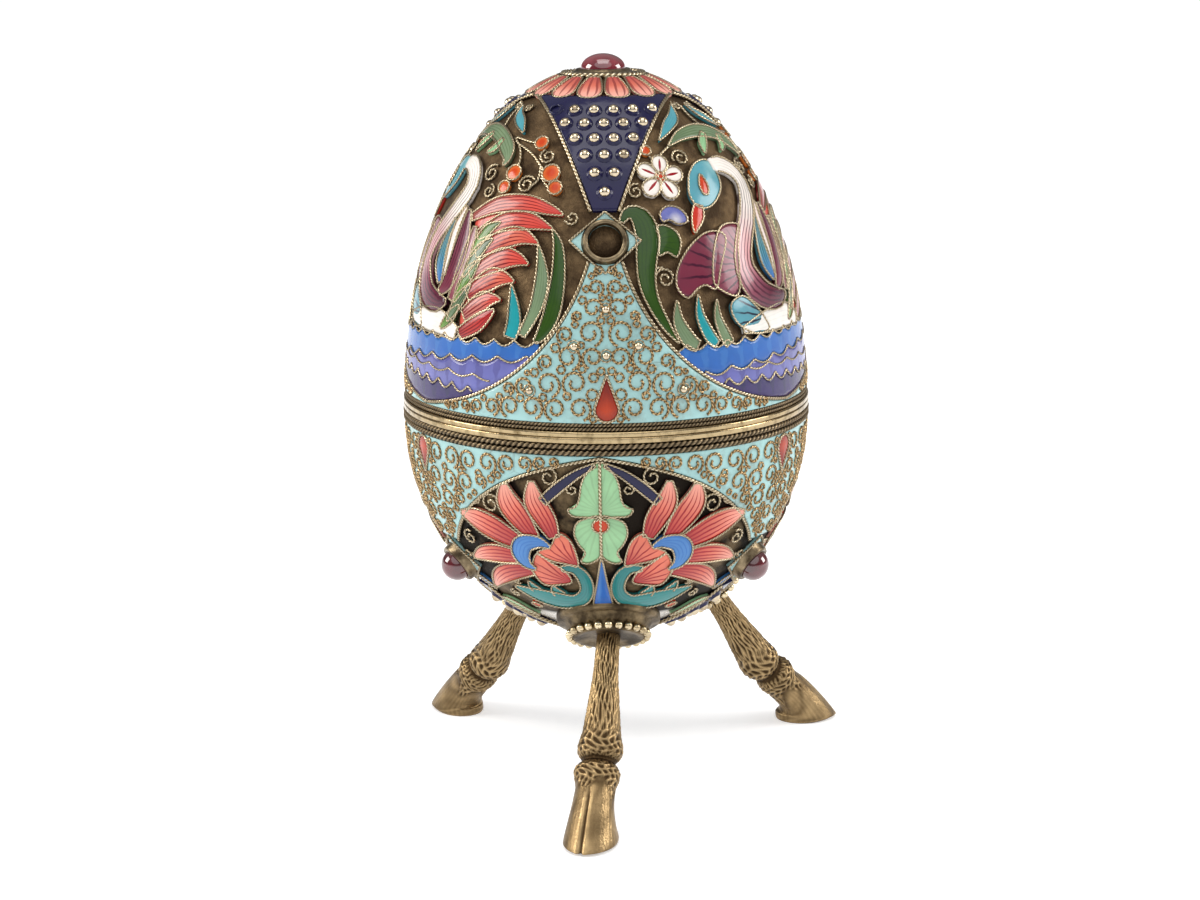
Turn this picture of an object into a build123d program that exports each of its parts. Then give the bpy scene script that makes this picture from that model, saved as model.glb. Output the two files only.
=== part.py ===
from build123d import *
from math import acos, asin, atan2, cos, degrees, hypot, pi, radians, sin
import os

# A two-part enamelled metal egg: a lift-off lid on a bowl that stands on three hoofed legs.
# Millimetres, +Z up, floor at z = 0, front towards -Y. Azimuth 0 is the front and grows towards +X.

# Egg body
egg_radius = 30.0
lid_height = 48.8
bowl_depth = 36.0
seam_height = 58.0
metal_wall = 1.0
enamel_depth = 0.5
wire_proud = 0.3  # border wires above the enamel
wire_width = 1.0
repeats = 3  # the ornament repeats round the egg

# Seam
lid_rim_height = 0.8
bowl_rim_height = 0.9
rim_proud = 0.35
rim_round = 0.25
lid_rope = 0.6
bowl_rope = 0.9
flange_rise = 3.0
flange_wall = 0.8
flange_chamfer = 0.3
lid_clearance = 0.35
solder = 0.03  # film between a round wire and the metal under it

# Lid ornament: azimuth from the panel's middle and rise from the seam, degrees
lid_field_top = (4.5, 29.3)
lid_field_waist = (17.7, 14.2)
lid_field_foot = 60.0
collet_rise = 33.0
lid_navy_tip = (4.0, 38.8)
lid_navy_corner = (52.0, 66.4)
lid_shot_rows = (6, 5, 4, 3, 2, 1)
lid_shot_rise = (63.0, 42.5)  # first and last row
shot_pitch = 2.7
lid_drop_length = 6.2
lid_drop_radius = 1.5
drop_wire = 0.45
drop_lift = 0.35  # teardrop's round end above the rope band

# Bowl ornament: azimuth from the panel's middle and fall from the straight wall, degrees
bowl_field_tip = (6.0, 28.0)
bowl_field_waist = (18.0, 16.2)
bowl_field_foot = 60.0
bowl_collet_fall = 36.2
bowl_navy_tip = (4.0, 45.5)
bowl_navy_corner = (27.0, 68.0)
bowl_shot_rows = (1, 2, 3)
bowl_shot_fall = (51.5, 64.5)
bowl_drop_length = 5.0
bowl_drop_radius = 1.5

bowl_turn = -2.0  # the bowl's ornament round from the lid's

# Cell-work pictures, drawn on a map of the flank that keeps shapes: x along the girth from the panel's
# middle and y up from the seam. A long cell is a spine of places with half its width at each; a
# rounded cell is an outline. Cells laid first keep their whole outline.
cell_depth = 6.0  # a cutter's reach below the surface at the middle of its cell
wave_reach = 24.0
wave_crest = 12.6
wave_scallops = 10
wave_trough = 0.9
wave_lines = (
    ((-24.0, 7.6), (-12.0, 8.6), (-4.0, 8.2), (6.0, 9.8), (14.0, 9.6), (24.0, 10.8)),
    ((-24.0, 6.6), (-12.0, 5.6), (-2.0, 6.2), (8.0, 5.2), (24.0, 5.0)),
)
swan_cells = (
    ((-7.4, 42.4, 1.2), (-3.6, 42.2, 1.9), (-0.4, 40.4, 2.0), (1.0, 37.0, 2.1), (-1.6, 32.0, 2.1),
     (-5.4, 27.2, 1.9), (-6.9, 23.4, 2.0), (-5.6, 20.0, 2.5), (-2.6, 17.9, 2.0), (1.0, 17.2, 1.4), (3.5, 17.6, 0.4)),
    ((-13.4, 41.0), (-10.8, 43.2), (-7.6, 43.5), (-5.6, 41.0), (-8.6, 35.4), (-11.3, 33.8), (-14.2, 34.4), (-14.8, 37.4)),
    ((-8.8, 14.4, 0.4), (-4.0, 14.7, 1.2), (2.0, 14.8, 1.3), (6.2, 14.2, 0.5)),
    ((-6.6, 29.6), (-9.8, 30.2), (-12.6, 26.6), (-13.9, 21.8), (-12.8, 20.2), (-10.4, 19.2), (-9.2, 22.6), (-8.2, 26.4)),
    ((-9.6, 29.0), (-13.0, 29.5), (-16.8, 27.6), (-19.6, 24.4), (-20.4, 21.2), (-18.8, 19.3), (-15.4, 21.0), (-12.6, 20.6)),
    ((0.2, 31.4, 0.4), (-0.6, 27.0, 1.2), (-0.6, 23.4, 1.5), (0.6, 20.4, 0.5)),
    ((11.5, 31.2, 0.3), (8.8, 28.2, 1.0), (6.8, 23.5, 1.2), (5.2, 19.0, 1.0), (4.2, 16.6, 0.4)),
    ((4.4, 32.2, 0.5), (4.6, 28.4, 2.0), (4.0, 24.0, 2.2), (2.6, 20.6, 1.5), (1.2, 19.2, 0.5)),
)
tail_cells = (
    ((5.6, 32.6, 0.6), (10.5, 34.6, 1.4), (16.5, 35.3, 1.5), (21.3, 34.3, 1.0), (24.0, 33.4, 0.2)),
    ((8.0, 29.2, 0.8), (13.0, 31.6, 1.4), (18.0, 32.0, 1.4), (22.4, 30.8, 0.2)),
    ((8.2, 25.6, 0.9), (13.6, 28.6, 1.4), (17.0, 29.3, 1.2), (20.2, 28.2, 0.2)),
    ((7.4, 21.9, 1.0), (13.6, 25.2, 1.5), (16.6, 25.5, 1.0), (18.9, 24.8, 0.2)),
    ((6.8, 18.6, 1.0), (12.4, 21.9, 1.4), (14.8, 22.3, 0.9), (16.8, 21.9, 0.2)),
    ((6.6, 15.6, 0.9), (11.4, 18.4, 1.2), (13.4, 19.0, 0.7), (14.8, 19.0, 0.2)),
    ((7.4, 13.2, 0.8), (10.6, 14.9, 1.1), (12.6, 16.4, 0.8), (13.9, 17.4, 0.2)),
)
leaf_cells = (
    ((-20.6, 19.0, 0.15), (-20.6, 16.0, 0.8), (-19.2, 13.2, 1.1), (-17.8, 12.0, 0.8)),
    ((-17.0, 19.6, 0.15), (-17.0, 16.6, 0.65), (-15.8, 13.6, 0.9), (-14.6, 12.0, 0.7)),
    ((-13.8, 18.6, 0.15), (-14.0, 16.0, 0.6), (-13.0, 13.2, 0.9), (-12.3, 12.0, 0.8)),
    ((22.5, 30.7, 0.15), (23.7, 28.0, 0.75), (24.1, 23.5, 1.05), (23.5, 18.0, 1.25), (21.6, 13.8, 0.5)),
    ((20.3, 28.0, 0.15), (21.1, 25.3, 0.65), (21.5, 22.0, 1.1), (20.8, 18.0, 0.95), (18.9, 13.6, 0.6)),
    ((16.5, 21.4, 0.15), (17.2, 18.5, 0.8), (17.5, 15.8, 1.1), (17.0, 13.0, 1.0)),
    ((-27.4, 33.5, 0.7), (-25.4, 32.4, 1.3), (-24.7, 29.0, 1.3), (-25.1, 22.0, 1.15), (-22.6, 15.5, 0.65),
     (-21.0, 13.2, 0.15)),
    ((-23.6, 30.8), (-21.5, 31.0), (-19.4, 30.0), (-18.9, 28.0), (-19.8, 25.9), (-23.2, 26.4), (-23.9, 28.6)),
    ((-15.8, 48.1, 0.2), (-11.0, 50.8, 1.4), (-4.5, 51.7, 2.0), (2.0, 50.2, 2.0), (6.8, 47.0, 1.9), (8.2, 43.4, 0.4)),
    ((-17.8, 49.7, 0.2), (-13.5, 53.9, 1.5), (-9.8, 57.2, 1.6), (-7.4, 61.6, 0.3)),
    ((9.0, 52.0, 0.3), (5.6, 55.2, 1.5), (2.2, 58.0, 1.3), (0.2, 61.6, 0.3)),
)
blossom_middle = (-20.1, 40.6)
blossom_petals = 5
blossom_reach = 4.8
blossom_notch = 2.6
lily_cells = (
    ((0.0, -3.5), (1.7, -4.9), (2.7, -8.0), (4.6, -10.8), (3.2, -11.8), (0.0, -11.6), (-3.2, -11.8), (-4.6, -10.8),
     (-2.7, -8.0), (-1.7, -4.9)),
    ((0.0, -12.0), (2.4, -12.1), (4.0, -14.8), (2.7, -18.0), (3.0, -20.0), (0.0, -18.8), (-3.0, -20.0), (-2.7, -18.0),
     (-4.0, -14.8), (-2.4, -12.1)),
    ((0.0, -19.6, 0.2), (0.0, -25.0, 0.9), (0.0, -30.0, 1.7), (0.0, -33.0, 1.2)),
)
petal_cells = (
    ((8.0, -17.3, 0.3), (9.8, -16.6, 0.95), (12.2, -17.3, 1.35), (13.2, -19.2, 1.35), (12.8, -21.0, 0.95),
     (11.4, -22.1, 0.3)),
    ((8.0, -17.2), (6.6, -14.9), (4.9, -15.7), (4.0, -18.2), (3.9, -21.1), (5.8, -20.7), (8.2, -20.2), (10.4, -18.7)),
    ((10.4, -18.9), (8.7, -20.3), (6.2, -22.4), (5.4, -25.1), (7.6, -26.0), (10.7, -26.4), (12.1, -23.7), (11.6, -20.8)),
    ((7.2, -15.6, 0.9), (8.3, -12.5, 1.4), (9.8, -9.6, 1.4), (9.7, -6.8, 0.4)),
    ((10.5, -16.2, 0.9), (12.0, -12.9, 1.6), (13.6, -10.2, 1.7), (13.9, -7.7, 0.6)),
    ((12.6, -17.2, 1.4), (17.0, -15.3, 2.0), (20.5, -14.1, 1.6), (23.3, -13.6, 0.4)),
    ((13.0, -20.4, 1.2), (17.5, -20.4, 1.5), (21.2, -21.2, 1.2), (24.4, -22.6, 0.4)),
    ((11.8, -22.4, 1.2), (17.4, -24.0, 1.6), (21.0, -26.4, 1.3), (24.2, -30.0, 0.4)),
)
frond_cells = (
    ((6.8, -21.9, 0.4), (4.4, -22.2, 1.0), (3.0, -24.5, 1.2), (3.0, -28.0, 1.25), (5.0, -31.6, 1.5), (9.0, -32.4, 1.9),
     (13.0, -31.0, 1.7), (17.6, -28.9, 0.3)),
    ((18.6, -41.4, 0.25), (21.2, -38.8, 1.2), (23.9, -36.2, 1.4), (27.1, -35.4, 0.4)),
)

# Settings and shots
collet_radius = 3.1
collet_bore = 2.4
collet_height = 1.7
collet_depth = 1.2
stone_clearance = 0.05
stone_dome = 2.3
plate_half_width = 5.0
plate_half_height = 4.4
plate_proud = 0.15
shot_radius = 0.75
shot_height = 0.75
shot_taper = 25.0
shot_sides = 6
shot_sink = 0.2  # stock below the enamel's surface before it is cut to fit
granule_radius = 0.6
granule_height = 0.5
granule_spots = ((0.0, 21.1), (0.0, 13.4), (8.8, 14.9), (-8.8, 14.9), (21.0, 7.4), (-21.0, 7.4))

# Crown of the lid
petal_count = 16
petal_inner = 6.6
petal_outer = 11.5
petal_gap = 0.35
crown_rope = 0.9
bezel_foot = 4.7
bezel_top = 3.9
bezel_floor = 0.3  # above the lid's pole
bezel_skirt = 0.4
cabochon_radius = 3.3
cabochon_girdle = 0.9
cabochon_dome = 2.2
petal_round = 1.6

# Legs
# Azimuth and radius of the boss, and how far hand-setting has carried the sole sideways and outwards
leg_places = (
    ("front", 0.0, 15.0, -2.3, 0.0),
    ("right", 116.0, 15.9, 3.7, 0.2),
    ("left", 236.0, 14.1, -6.4, 3.1),
)
leg_swing = 15.0
collar_radius = 7.6
collar_waist = 6.2
collar_lip = 5.2
collar_height = 2.6
collar_seat = 3.0  # stock below the bowl's surface before it is cut to fit
collar_step = 0.4
bead_radius = 0.6
bead_pitch = 1.45
bead_sides = 6
bead_taper = 22.0
bead_band = 0.8
tenon_radius = 1.2
tenon_length = 1.6
tenon_clearance = 0.05
cleft_width = 0.8
oval_points = 8
cleft_depth = 2.6
cleft_height = 6.0
# Share of the leg's run, sway outwards, depth, width, and bend outwards in degrees
shank_sections = (
    (0.20, 0.1, 3.7, 3.6, 0.0),
    (0.33, 0.1, 4.5, 4.4, 0.0),
    (0.47, 0.1, 5.7, 5.5, 0.0),
    (0.59, 0.2, 6.4, 6.7, 4.0),
)
groove_section = (0.64, 0.5, 5.5, 5.8, 8.0)
hoof_sections = (
    (0.685, 1.0, 6.4, 6.7, 12.0),
    (0.75, 1.3, 5.9, 6.0, 14.0),
    (0.85, 1.8, 6.3, 6.4, 18.0),
)
leg_top_depth = 3.3
leg_top_width = 3.2
hoof_reach = 1.5  # the hoof's middle beyond the point where the leg's axis meets the floor
hoof_edge = 1.2
hoof_length = 9.4
hoof_width = 7.6
sole_reach = 0.7
sole_length = 7.0
sole_width = 6.6

ground_radius = egg_radius - enamel_depth
half_repeat = 180 / repeats
inner_radius = ground_radius - metal_wall
bowl_straight = bowl_rim_height + 2 * bowl_rope  # upright wall behind the rim and its ropes
bowl_round = bowl_depth - bowl_straight
bowl_centre = seam_height - bowl_straight
lid_band_top = seam_height + lid_rim_height + 2 * lid_rope
reach = 2 * (egg_radius + lid_height)


# Surfaces of the egg
def lid_core(inset):
    """Solid lid, its surface moved in by inset."""
    flank = EllipticalCenterArc((0, seam_height), egg_radius - inset, lid_height - inset, arc_size=90)
    outline = flank + Polyline(flank @ 1, (0, seam_height), flank @ 0)
    return revolve(Plane.XZ * make_face(outline), Axis.Z)


def bowl_core(inset):
    """Solid bowl, its surface moved in by inset."""
    flank = EllipticalCenterArc((0, bowl_centre), egg_radius - inset, bowl_round - inset, arc_size=-90)
    outline = flank + Polyline(
        flank @ 1, (0, seam_height), (egg_radius - inset, seam_height), flank @ 0
    )
    return revolve(Plane.XZ * make_face(outline), Axis.Z)


def bowl_layer(outset):
    """Skin over the bowl's rounded metal, its outer face moved out from the enamel by outset."""
    outer = EllipticalCenterArc((0, bowl_centre), egg_radius + outset, bowl_round + outset, arc_size=-90)
    inner = EllipticalCenterArc((0, bowl_centre), ground_radius, bowl_round - enamel_depth, arc_size=-90)
    outline = outer + inner + Line(outer @ 0, inner @ 0) + Line(outer @ 1, inner @ 1)
    return revolve(Plane.XZ * make_face(outline), Axis.Z)


def slab(low, high):
    """Block that spans the egg between two heights."""
    return Pos(0, 0, (low + high) / 2) * Box(reach, reach, high - low)


def turned(azimuth, radius, height):
    """Point at an azimuth, a radius from the axis and a height."""
    angle = radians(azimuth)
    return Vector(radius * sin(angle), -radius * cos(angle), height)


def lid_spot(azimuth, rise, inset=0.0):
    """Point on the lid's surface."""
    angle = radians(rise)
    return turned(
        azimuth,
        (egg_radius - inset) * cos(angle),
        seam_height + (lid_height - inset) * sin(angle),
    )


def bowl_spot(azimuth, fall, inset=0.0):
    """Point on the bowl's rounded surface."""
    angle = radians(fall)
    return turned(
        azimuth,
        (egg_radius - inset) * cos(angle),
        bowl_centre - (bowl_round - inset) * sin(angle),
    )


def facing(origin, azimuth, tilt):
    """Plane seen from outside: x along the egg's girth, y up its flank, z outwards at a tilt."""
    across = turned(azimuth + 90, 1, 0)
    level = turned(azimuth, 1, 0)
    outward = level * cos(radians(tilt)) + Vector(0, 0, sin(radians(tilt)))
    return Plane(origin, x_dir=across, z_dir=outward)


def lid_facing(azimuth, rise, inset=0.0):
    """Plane square to the lid's surface at a point."""
    angle = radians(rise)
    tilt = degrees(atan2(sin(angle) / lid_height, cos(angle) / egg_radius))
    return facing(lid_spot(azimuth, rise, inset), azimuth, tilt)


def bowl_facing(azimuth, fall, inset=0.0):
    """Plane square to the bowl's rounded surface at a point."""
    angle = radians(fall)
    tilt = degrees(atan2(sin(angle) / bowl_round, cos(angle) / egg_radius))
    return facing(bowl_spot(azimuth, fall, inset), azimuth, -tilt)


def thirds(shape, start=0.0):
    """Copies of a shape, spread evenly round the egg."""
    return [shape.rotate(Axis.Z, start + 360 / repeats * turn) for turn in range(repeats)]


def prism(plane, edges, behind=0.0, span=reach):
    """Straight cutter through the egg's near side, from an outline in a facing plane."""
    face = plane.offset(-behind).location * make_face(edges)
    return extrude(face, amount=span, dir=plane.z_dir)


def mirrored(point):
    return (-point[0], point[1])


def on_plane(plane, spot):
    """Place of a point in a plane's own x and y."""
    local = plane.to_local_coords(spot)
    return (local.X, local.Y)


def arc_centre(first, second, third):
    """Centre of the circle through three points."""
    ax, ay = second[0] - first[0], second[1] - first[1]
    bx, by = third[0] - first[0], third[1] - first[1]
    twice = 2 * (ax * by - ay * bx)
    a2, b2 = ax * ax + ay * ay, bx * bx + by * by
    return (first[0] + (by * a2 - ay * b2) / twice, first[1] + (ax * b2 - bx * a2) / twice)


def towards(point, goal, distance):
    """Point moved by a distance towards another point."""
    dx, dy = goal[0] - point[0], goal[1] - point[1]
    share = distance / hypot(dx, dy)
    return (point[0] + dx * share, point[1] + dy * share)


def concave_field(plane, tip, waist, foot, grow, skirt):
    """Cutter for a three-sided field with two hollow sides, grown sideways and closed by a skirt."""
    places = [on_plane(plane, spot) for spot in (tip, waist, foot)]
    centre = arc_centre(*places)
    top, middle, low = [towards(place, centre, grow) for place in places]
    hem = (low[0], on_plane(plane, foot)[1] + skirt)
    edges = [
        ThreePointArc(low, middle, top),
        Line(top, mirrored(top)),
        ThreePointArc(mirrored(top), mirrored(middle), mirrored(low)),
        Polyline(mirrored(low), mirrored(hem), hem, low),
    ]
    return prism(plane, edges)


def fan_field(plane, tip, corner, crown, grow):
    """Cutter for a straight-sided field that widens from a cut tip to a curved end."""
    low, high, end = [on_plane(plane, spot) for spot in (tip, corner, crown)]
    wide_low = (low[0] + grow, low[1])
    wide_high = (high[0] + grow, high[1])
    edges = [
        Line(wide_low, wide_high),
        ThreePointArc(wide_high, end, mirrored(wide_high)),
        Line(mirrored(wide_high), mirrored(wide_low)),
        Line(mirrored(wide_low), wide_low),
    ]
    return prism(plane, edges, egg_radius / 2)


def drop_cutter(plane, length, radius, grow, point_up):
    """Cutter for a teardrop: a round end and two straight flanks that meet in a tip."""
    wide = radius + grow
    run = length - radius + grow * length / radius
    lean = asin(wide / run)
    way = 1 if point_up else -1
    touch = (wide * cos(lean), way * wide * sin(lean))
    tip = (0, way * run)
    edges = [
        ThreePointArc(touch, (0, -way * wide), mirrored(touch)),
        Polyline(mirrored(touch), tip, touch),
    ]
    return prism(plane, edges)


def shot(plane, radius, height):
    """One domed grain of shot, standing in a plane that touches the egg."""
    blank = Pos(0, 0, -shot_sink) * RegularPolygon(radius, shot_sides)
    return plane.location * extrude(blank, amount=height + shot_sink, taper=shot_taper)


def between(ends, step, steps):
    """Even steps from one value to another."""
    return ends[0] + (ends[1] - ends[0]) * step / max(steps - 1, 1)


def shot_places(rows, angles, pitch):
    """Azimuth and height angle of each grain, row by row at an even pitch."""
    places = []
    for row, count in enumerate(rows):
        angle = between(angles, row, len(rows))
        girth = egg_radius * cos(radians(angle))
        offsets = [pitch * (step - (count - 1) / 2) for step in range(count)]
        places += [(degrees(asin(offset / girth)), angle) for offset in offsets]
    return places


def save(name, *shapes):
    """Write the solids of one piece."""
    solids = [solid for shape in shapes for solid in shape.solids()]
    piece = solids[0] if len(solids) == 1 else Compound(children=solids)
    export_step(piece, f"parts/{name}.step")


os.makedirs("parts", exist_ok=True)

# Metal shells, the rims soldered to their edges and the flange that centres the lid
lid_ground = lid_core(enamel_depth)
bowl_ground = bowl_core(enamel_depth)
lid_cup = lid_ground - lid_core(enamel_depth + metal_wall)
lid_shell = lid_cup & slab(seam_height + lid_rim_height, reach)
bowl_cup = bowl_ground - bowl_core(enamel_depth + metal_wall)
bowl_shell = bowl_cup & slab(-reach, seam_height - bowl_rim_height)


def rim(low, high):
    """Flat ring with rounded outer edges."""
    outer = egg_radius + rim_proud
    profile = Pos((inner_radius + outer) / 2, (low + high) / 2) * Rectangle(
        outer - inner_radius, high - low
    )
    profile = fillet(profile.vertices().group_by(Axis.X)[-1], rim_round)
    return revolve(Plane.XZ * profile, Axis.Z)


lid_rim = rim(seam_height, seam_height + lid_rim_height)
bowl_rim = rim(seam_height - bowl_rim_height, seam_height)

flange_outer = inner_radius - lid_clearance
flange_inner = flange_outer - flange_wall
flange_top = seam_height + flange_rise
flange_outline = Polyline(
    (flange_inner, bowl_centre),
    (inner_radius, bowl_centre),
    (inner_radius, seam_height),
    (flange_outer, seam_height),
    (flange_outer, flange_top - flange_chamfer),
    (flange_outer - flange_chamfer, flange_top),
    (flange_inner, flange_top),
    close=True,
)
bowl_flange = revolve(Plane.XZ * make_face(flange_outline), Axis.Z)


def rope_pair(start, way, thickness):
    """Two rope rings side by side round the ground metal, from a height up or down."""
    half = thickness / 2
    return [
        Pos(0, 0, start + way * (half + thickness * turn)) * Torus(ground_radius + half + solder, half)
        for turn in range(2)
    ]


save("lid_shell", lid_shell)
save("lid_rim", lid_rim)
save("lid_rope_bands", *rope_pair(seam_height + lid_rim_height, 1, lid_rope))
save("bowl_shell", bowl_shell)
save("bowl_rim", bowl_rim)
save("bowl_flange", bowl_flange)
save("bowl_rope_bands", *rope_pair(seam_height - bowl_rim_height, -1, bowl_rope))

# Lid panels: enamel beds and raised wire borders cut out of layers that follow the egg
lid_enamel = (lid_core(0) - lid_ground) & slab(lid_band_top, reach)
lid_wires = (lid_core(-wire_proud) - lid_ground) & slab(lid_band_top, reach)
lid_plane = facing((0, 0, seam_height), 0, 0)
lid_foot = turned(lid_field_foot, egg_radius, lid_band_top)
field_points = (lid_spot(*lid_field_top), lid_spot(*lid_field_waist), lid_foot)
lid_field_cut = concave_field(lid_plane, *field_points, 0, -wire_width)
lid_field_span = concave_field(lid_plane, *field_points, wire_width, -wire_width)
lid_border_cut = lid_field_span - lid_field_cut

collet_plane = lid_facing(0, collet_rise, enamel_depth)
plate_corners = (
    (plate_half_width, 0), (0, plate_half_height), (-plate_half_width, 0), (0, -plate_half_height)
)
plate_cut = prism(collet_plane, [Polyline(*plate_corners, close=True)], plate_half_width)

crown_cut = Pos(0, 0, seam_height) * Cylinder(
    petal_outer, reach, align=(Align.CENTER, Align.CENTER, Align.MIN)
)
navy_plane = lid_facing(0, between((lid_navy_tip[1], lid_navy_corner[1]), 1, 3))
navy_points = (
    lid_spot(*lid_navy_tip), lid_spot(*lid_navy_corner), lid_spot(0, lid_navy_corner[1])
)
lid_navy_cut = fan_field(navy_plane, *navy_points, 0)
lid_navy_span = fan_field(navy_plane, *navy_points, wire_width)
lid_edge_cut = lid_navy_span - lid_navy_cut

drop_height = lid_band_top + drop_lift + lid_drop_radius
drop_plane = facing((0, 0, drop_height), 0, 0)
lid_drop_cut = drop_cutter(drop_plane, lid_drop_length, lid_drop_radius, 0, True)
lid_drop_ring = drop_cutter(drop_plane, lid_drop_length, lid_drop_radius, drop_wire, True)
lid_drop_edge = lid_drop_ring - lid_drop_cut

lid_field = (lid_enamel & lid_field_cut) - plate_cut - lid_drop_ring
lid_navy = (lid_enamel & lid_navy_cut) - plate_cut - crown_cut
lid_field_border = (lid_wires & lid_border_cut) - plate_cut
lid_navy_border = (lid_wires & lid_edge_cut) - plate_cut - crown_cut
lid_drop = lid_enamel & lid_drop_cut
lid_drop_wire = lid_wires & lid_drop_edge

lid_borders = Part() + thirds(lid_field_border)
save("lid_turquoise_fields", *[field - lid_borders for field in thirds(lid_field)])
save("lid_navy_fields", *thirds(lid_navy))
save("lid_field_borders", lid_borders)
save("lid_navy_borders", *thirds(lid_navy_border))
save("lid_teardrops", *thirds(lid_drop))
save("lid_teardrop_wires", *thirds(lid_drop_wire))


# Pictures on the lid: enamel cells cut out of the same layer, between the borders of the fields
def flank_angle(height, run):
    """Angle up a flank at a distance up its map, added up in small steps."""
    angle, covered, step = 0.0, 0.0, 0.002
    while covered < run:
        stretch = hypot(egg_radius * sin(angle), height * cos(angle)) / cos(angle)
        covered += stretch * step
        angle += step
    return degrees(angle)


def lid_place(x, y):
    """Azimuth and rise of a place on the lid's map."""
    return degrees(x / egg_radius), flank_angle(lid_height, y)


def bowl_place(x, y):
    """Azimuth and fall of a place on the bowl's map."""
    return degrees(x / egg_radius), flank_angle(bowl_round, -y - bowl_straight)


lid_map = (lid_place, lid_spot, lid_facing)
bowl_map = (bowl_place, bowl_spot, bowl_facing)


def spine_sides(rows):
    """Two sides of a long cell, its half-widths laid off square to the spine."""
    left, right = [], []
    for index, (x, y, half) in enumerate(rows):
        before, after = rows[max(index - 1, 0)], rows[min(index + 1, len(rows) - 1)]
        run = hypot(after[0] - before[0], after[1] - before[1])
        square = (half * (before[1] - after[1]) / run, half * (after[0] - before[0]) / run)
        left.append((x + square[0], y + square[1]))
        right.append((x - square[0], y - square[1]))
    return left, right


def cell_cut(flank, rows):
    """Cutter for one cell, square to the surface at the cell's middle."""
    place, spot, face = flank
    xs, ys = [row[0] for row in rows], [row[1] for row in rows]
    plane = face(*place((min(xs) + max(xs)) / 2, (min(ys) + max(ys)) / 2))

    def laid(points):
        return [on_plane(plane, spot(*place(*point))) for point in points]

    if len(rows[0]) == 2:
        return prism(plane, [Spline(*laid(rows), periodic=True)], cell_depth, 2 * cell_depth)
    left, right = [laid(side) for side in spine_sides(rows)]
    ends = [Line(left[0], right[0]), Line(left[-1], right[-1])]
    return prism(plane, [Spline(*left), Spline(*right)] + ends, cell_depth, 2 * cell_depth)


def boxes_meet(first, second):
    """Whether two bounding boxes overlap."""
    lows = [max(a, b) for a, b in zip(first.min, second.min)]
    highs = [min(a, b) for a, b in zip(first.max, second.max)]
    return all(low < high for low, high in zip(lows, highs))


def laid_cells(layer, cutters, earlier):
    """Enamel cells in the order they are laid, each less what was laid before it."""
    laid = [(cut, cut.bounding_box()) for cut in earlier]
    cells = []
    for cutter in cutters:
        cell = layer & cutter
        box = cell.bounding_box()
        near = [cut for cut, extent in laid if boxes_meet(box, extent)]
        rest = cell - near if near else cell
        cells.append(max(rest.solids(), key=lambda solid: solid.volume))
        laid.append((cutter, cutter.bounding_box()))
    return cells


def both_sides(cuts):
    """Cutters of a field's outline, at the panel's left and right."""
    return [cut.rotate(Axis.Z, side * half_repeat) for cut in cuts for side in (-1, 1)]


def wave_cuts():
    """Cutters for three bands of water: a scalloped crest and two waving lines below it."""
    def laid(points):
        return [on_plane(lid_plane, lid_spot(*lid_place(*point))) for point in points]

    pitch = 2 * wave_reach / wave_scallops
    starts = [(pitch * step - wave_reach, wave_crest) for step in range(wave_scallops + 1)]
    cusps = laid(starts)
    troughs = laid([(x + pitch / 2, wave_crest - wave_trough) for x, y in starts])
    crest = [ThreePointArc(*arc) for arc in zip(cusps, troughs, cusps[1:])]
    lines = [[Spline(*laid(points))] for points in wave_lines]
    hem = [Line(*laid([(-wave_reach, 0), (wave_reach, 0)]))]
    cuts = []
    for top, foot in zip([crest] + lines, lines + [hem]):
        ends = [Line(top[0] @ 0, foot[0] @ 0), Line(top[-1] @ 1, foot[-1] @ 1)]
        cuts.append(prism(lid_plane, top + foot + ends))
    return cuts


def blossom_cut():
    """Cutter for a blossom: an arc over each petal, from notch to notch."""
    plane = lid_facing(*lid_place(*blossom_middle))

    def spoke(turn, radius):
        angle = pi / 2 + 2 * pi / blossom_petals * turn
        x, y = blossom_middle[0] + radius * cos(angle), blossom_middle[1] + radius * sin(angle)
        return on_plane(plane, lid_spot(*lid_place(x, y)))

    arcs = [
        ThreePointArc(spoke(petal - 0.5, blossom_notch), spoke(petal, blossom_reach), spoke(petal + 0.5, blossom_notch))
        for petal in range(blossom_petals)
    ]
    return prism(plane, arcs, cell_depth, 2 * cell_depth)


lid_fences = both_sides([lid_field_span, lid_navy_span, plate_cut])
lid_wave_cuts = wave_cuts()
swan_cuts = [cell_cut(lid_map, rows) for rows in swan_cells]
tail_cuts = [cell_cut(lid_map, rows) for rows in tail_cells]
leaf_cuts = [cell_cut(lid_map, rows) for rows in leaf_cells]
lid_waves = laid_cells(lid_enamel, lid_wave_cuts, lid_fences)
lid_swans = laid_cells(lid_enamel, swan_cuts, lid_wave_cuts)
lid_tails = laid_cells(lid_enamel, tail_cuts, lid_fences + lid_wave_cuts + swan_cuts)
lid_leaves = laid_cells(lid_enamel, leaf_cuts, lid_fences + lid_wave_cuts + swan_cuts + tail_cuts)
lid_blossoms = laid_cells(lid_enamel, [blossom_cut()], lid_fences + swan_cuts + leaf_cuts)


def panels(cells, start=half_repeat):
    """Copies of a panel's cells, spread evenly round the egg."""
    return [copy for cell in cells for copy in thirds(cell, start)]


save("lid_waves", *panels(lid_waves))
save("lid_swans", *panels(lid_swans))
save("lid_tails", *panels(lid_tails))
save("lid_leaves", *panels(lid_leaves))
save("lid_blossoms", *panels(lid_blossoms))


# Grains of shot on the lid's fields
def seated_shots(places, face, core, radius, height):
    """Grains at their places, cut to stand on the surface of a core."""
    grains = Part() + [shot(face(azimuth, angle), radius, height) for azimuth, angle in places]
    return grains - core


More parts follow.
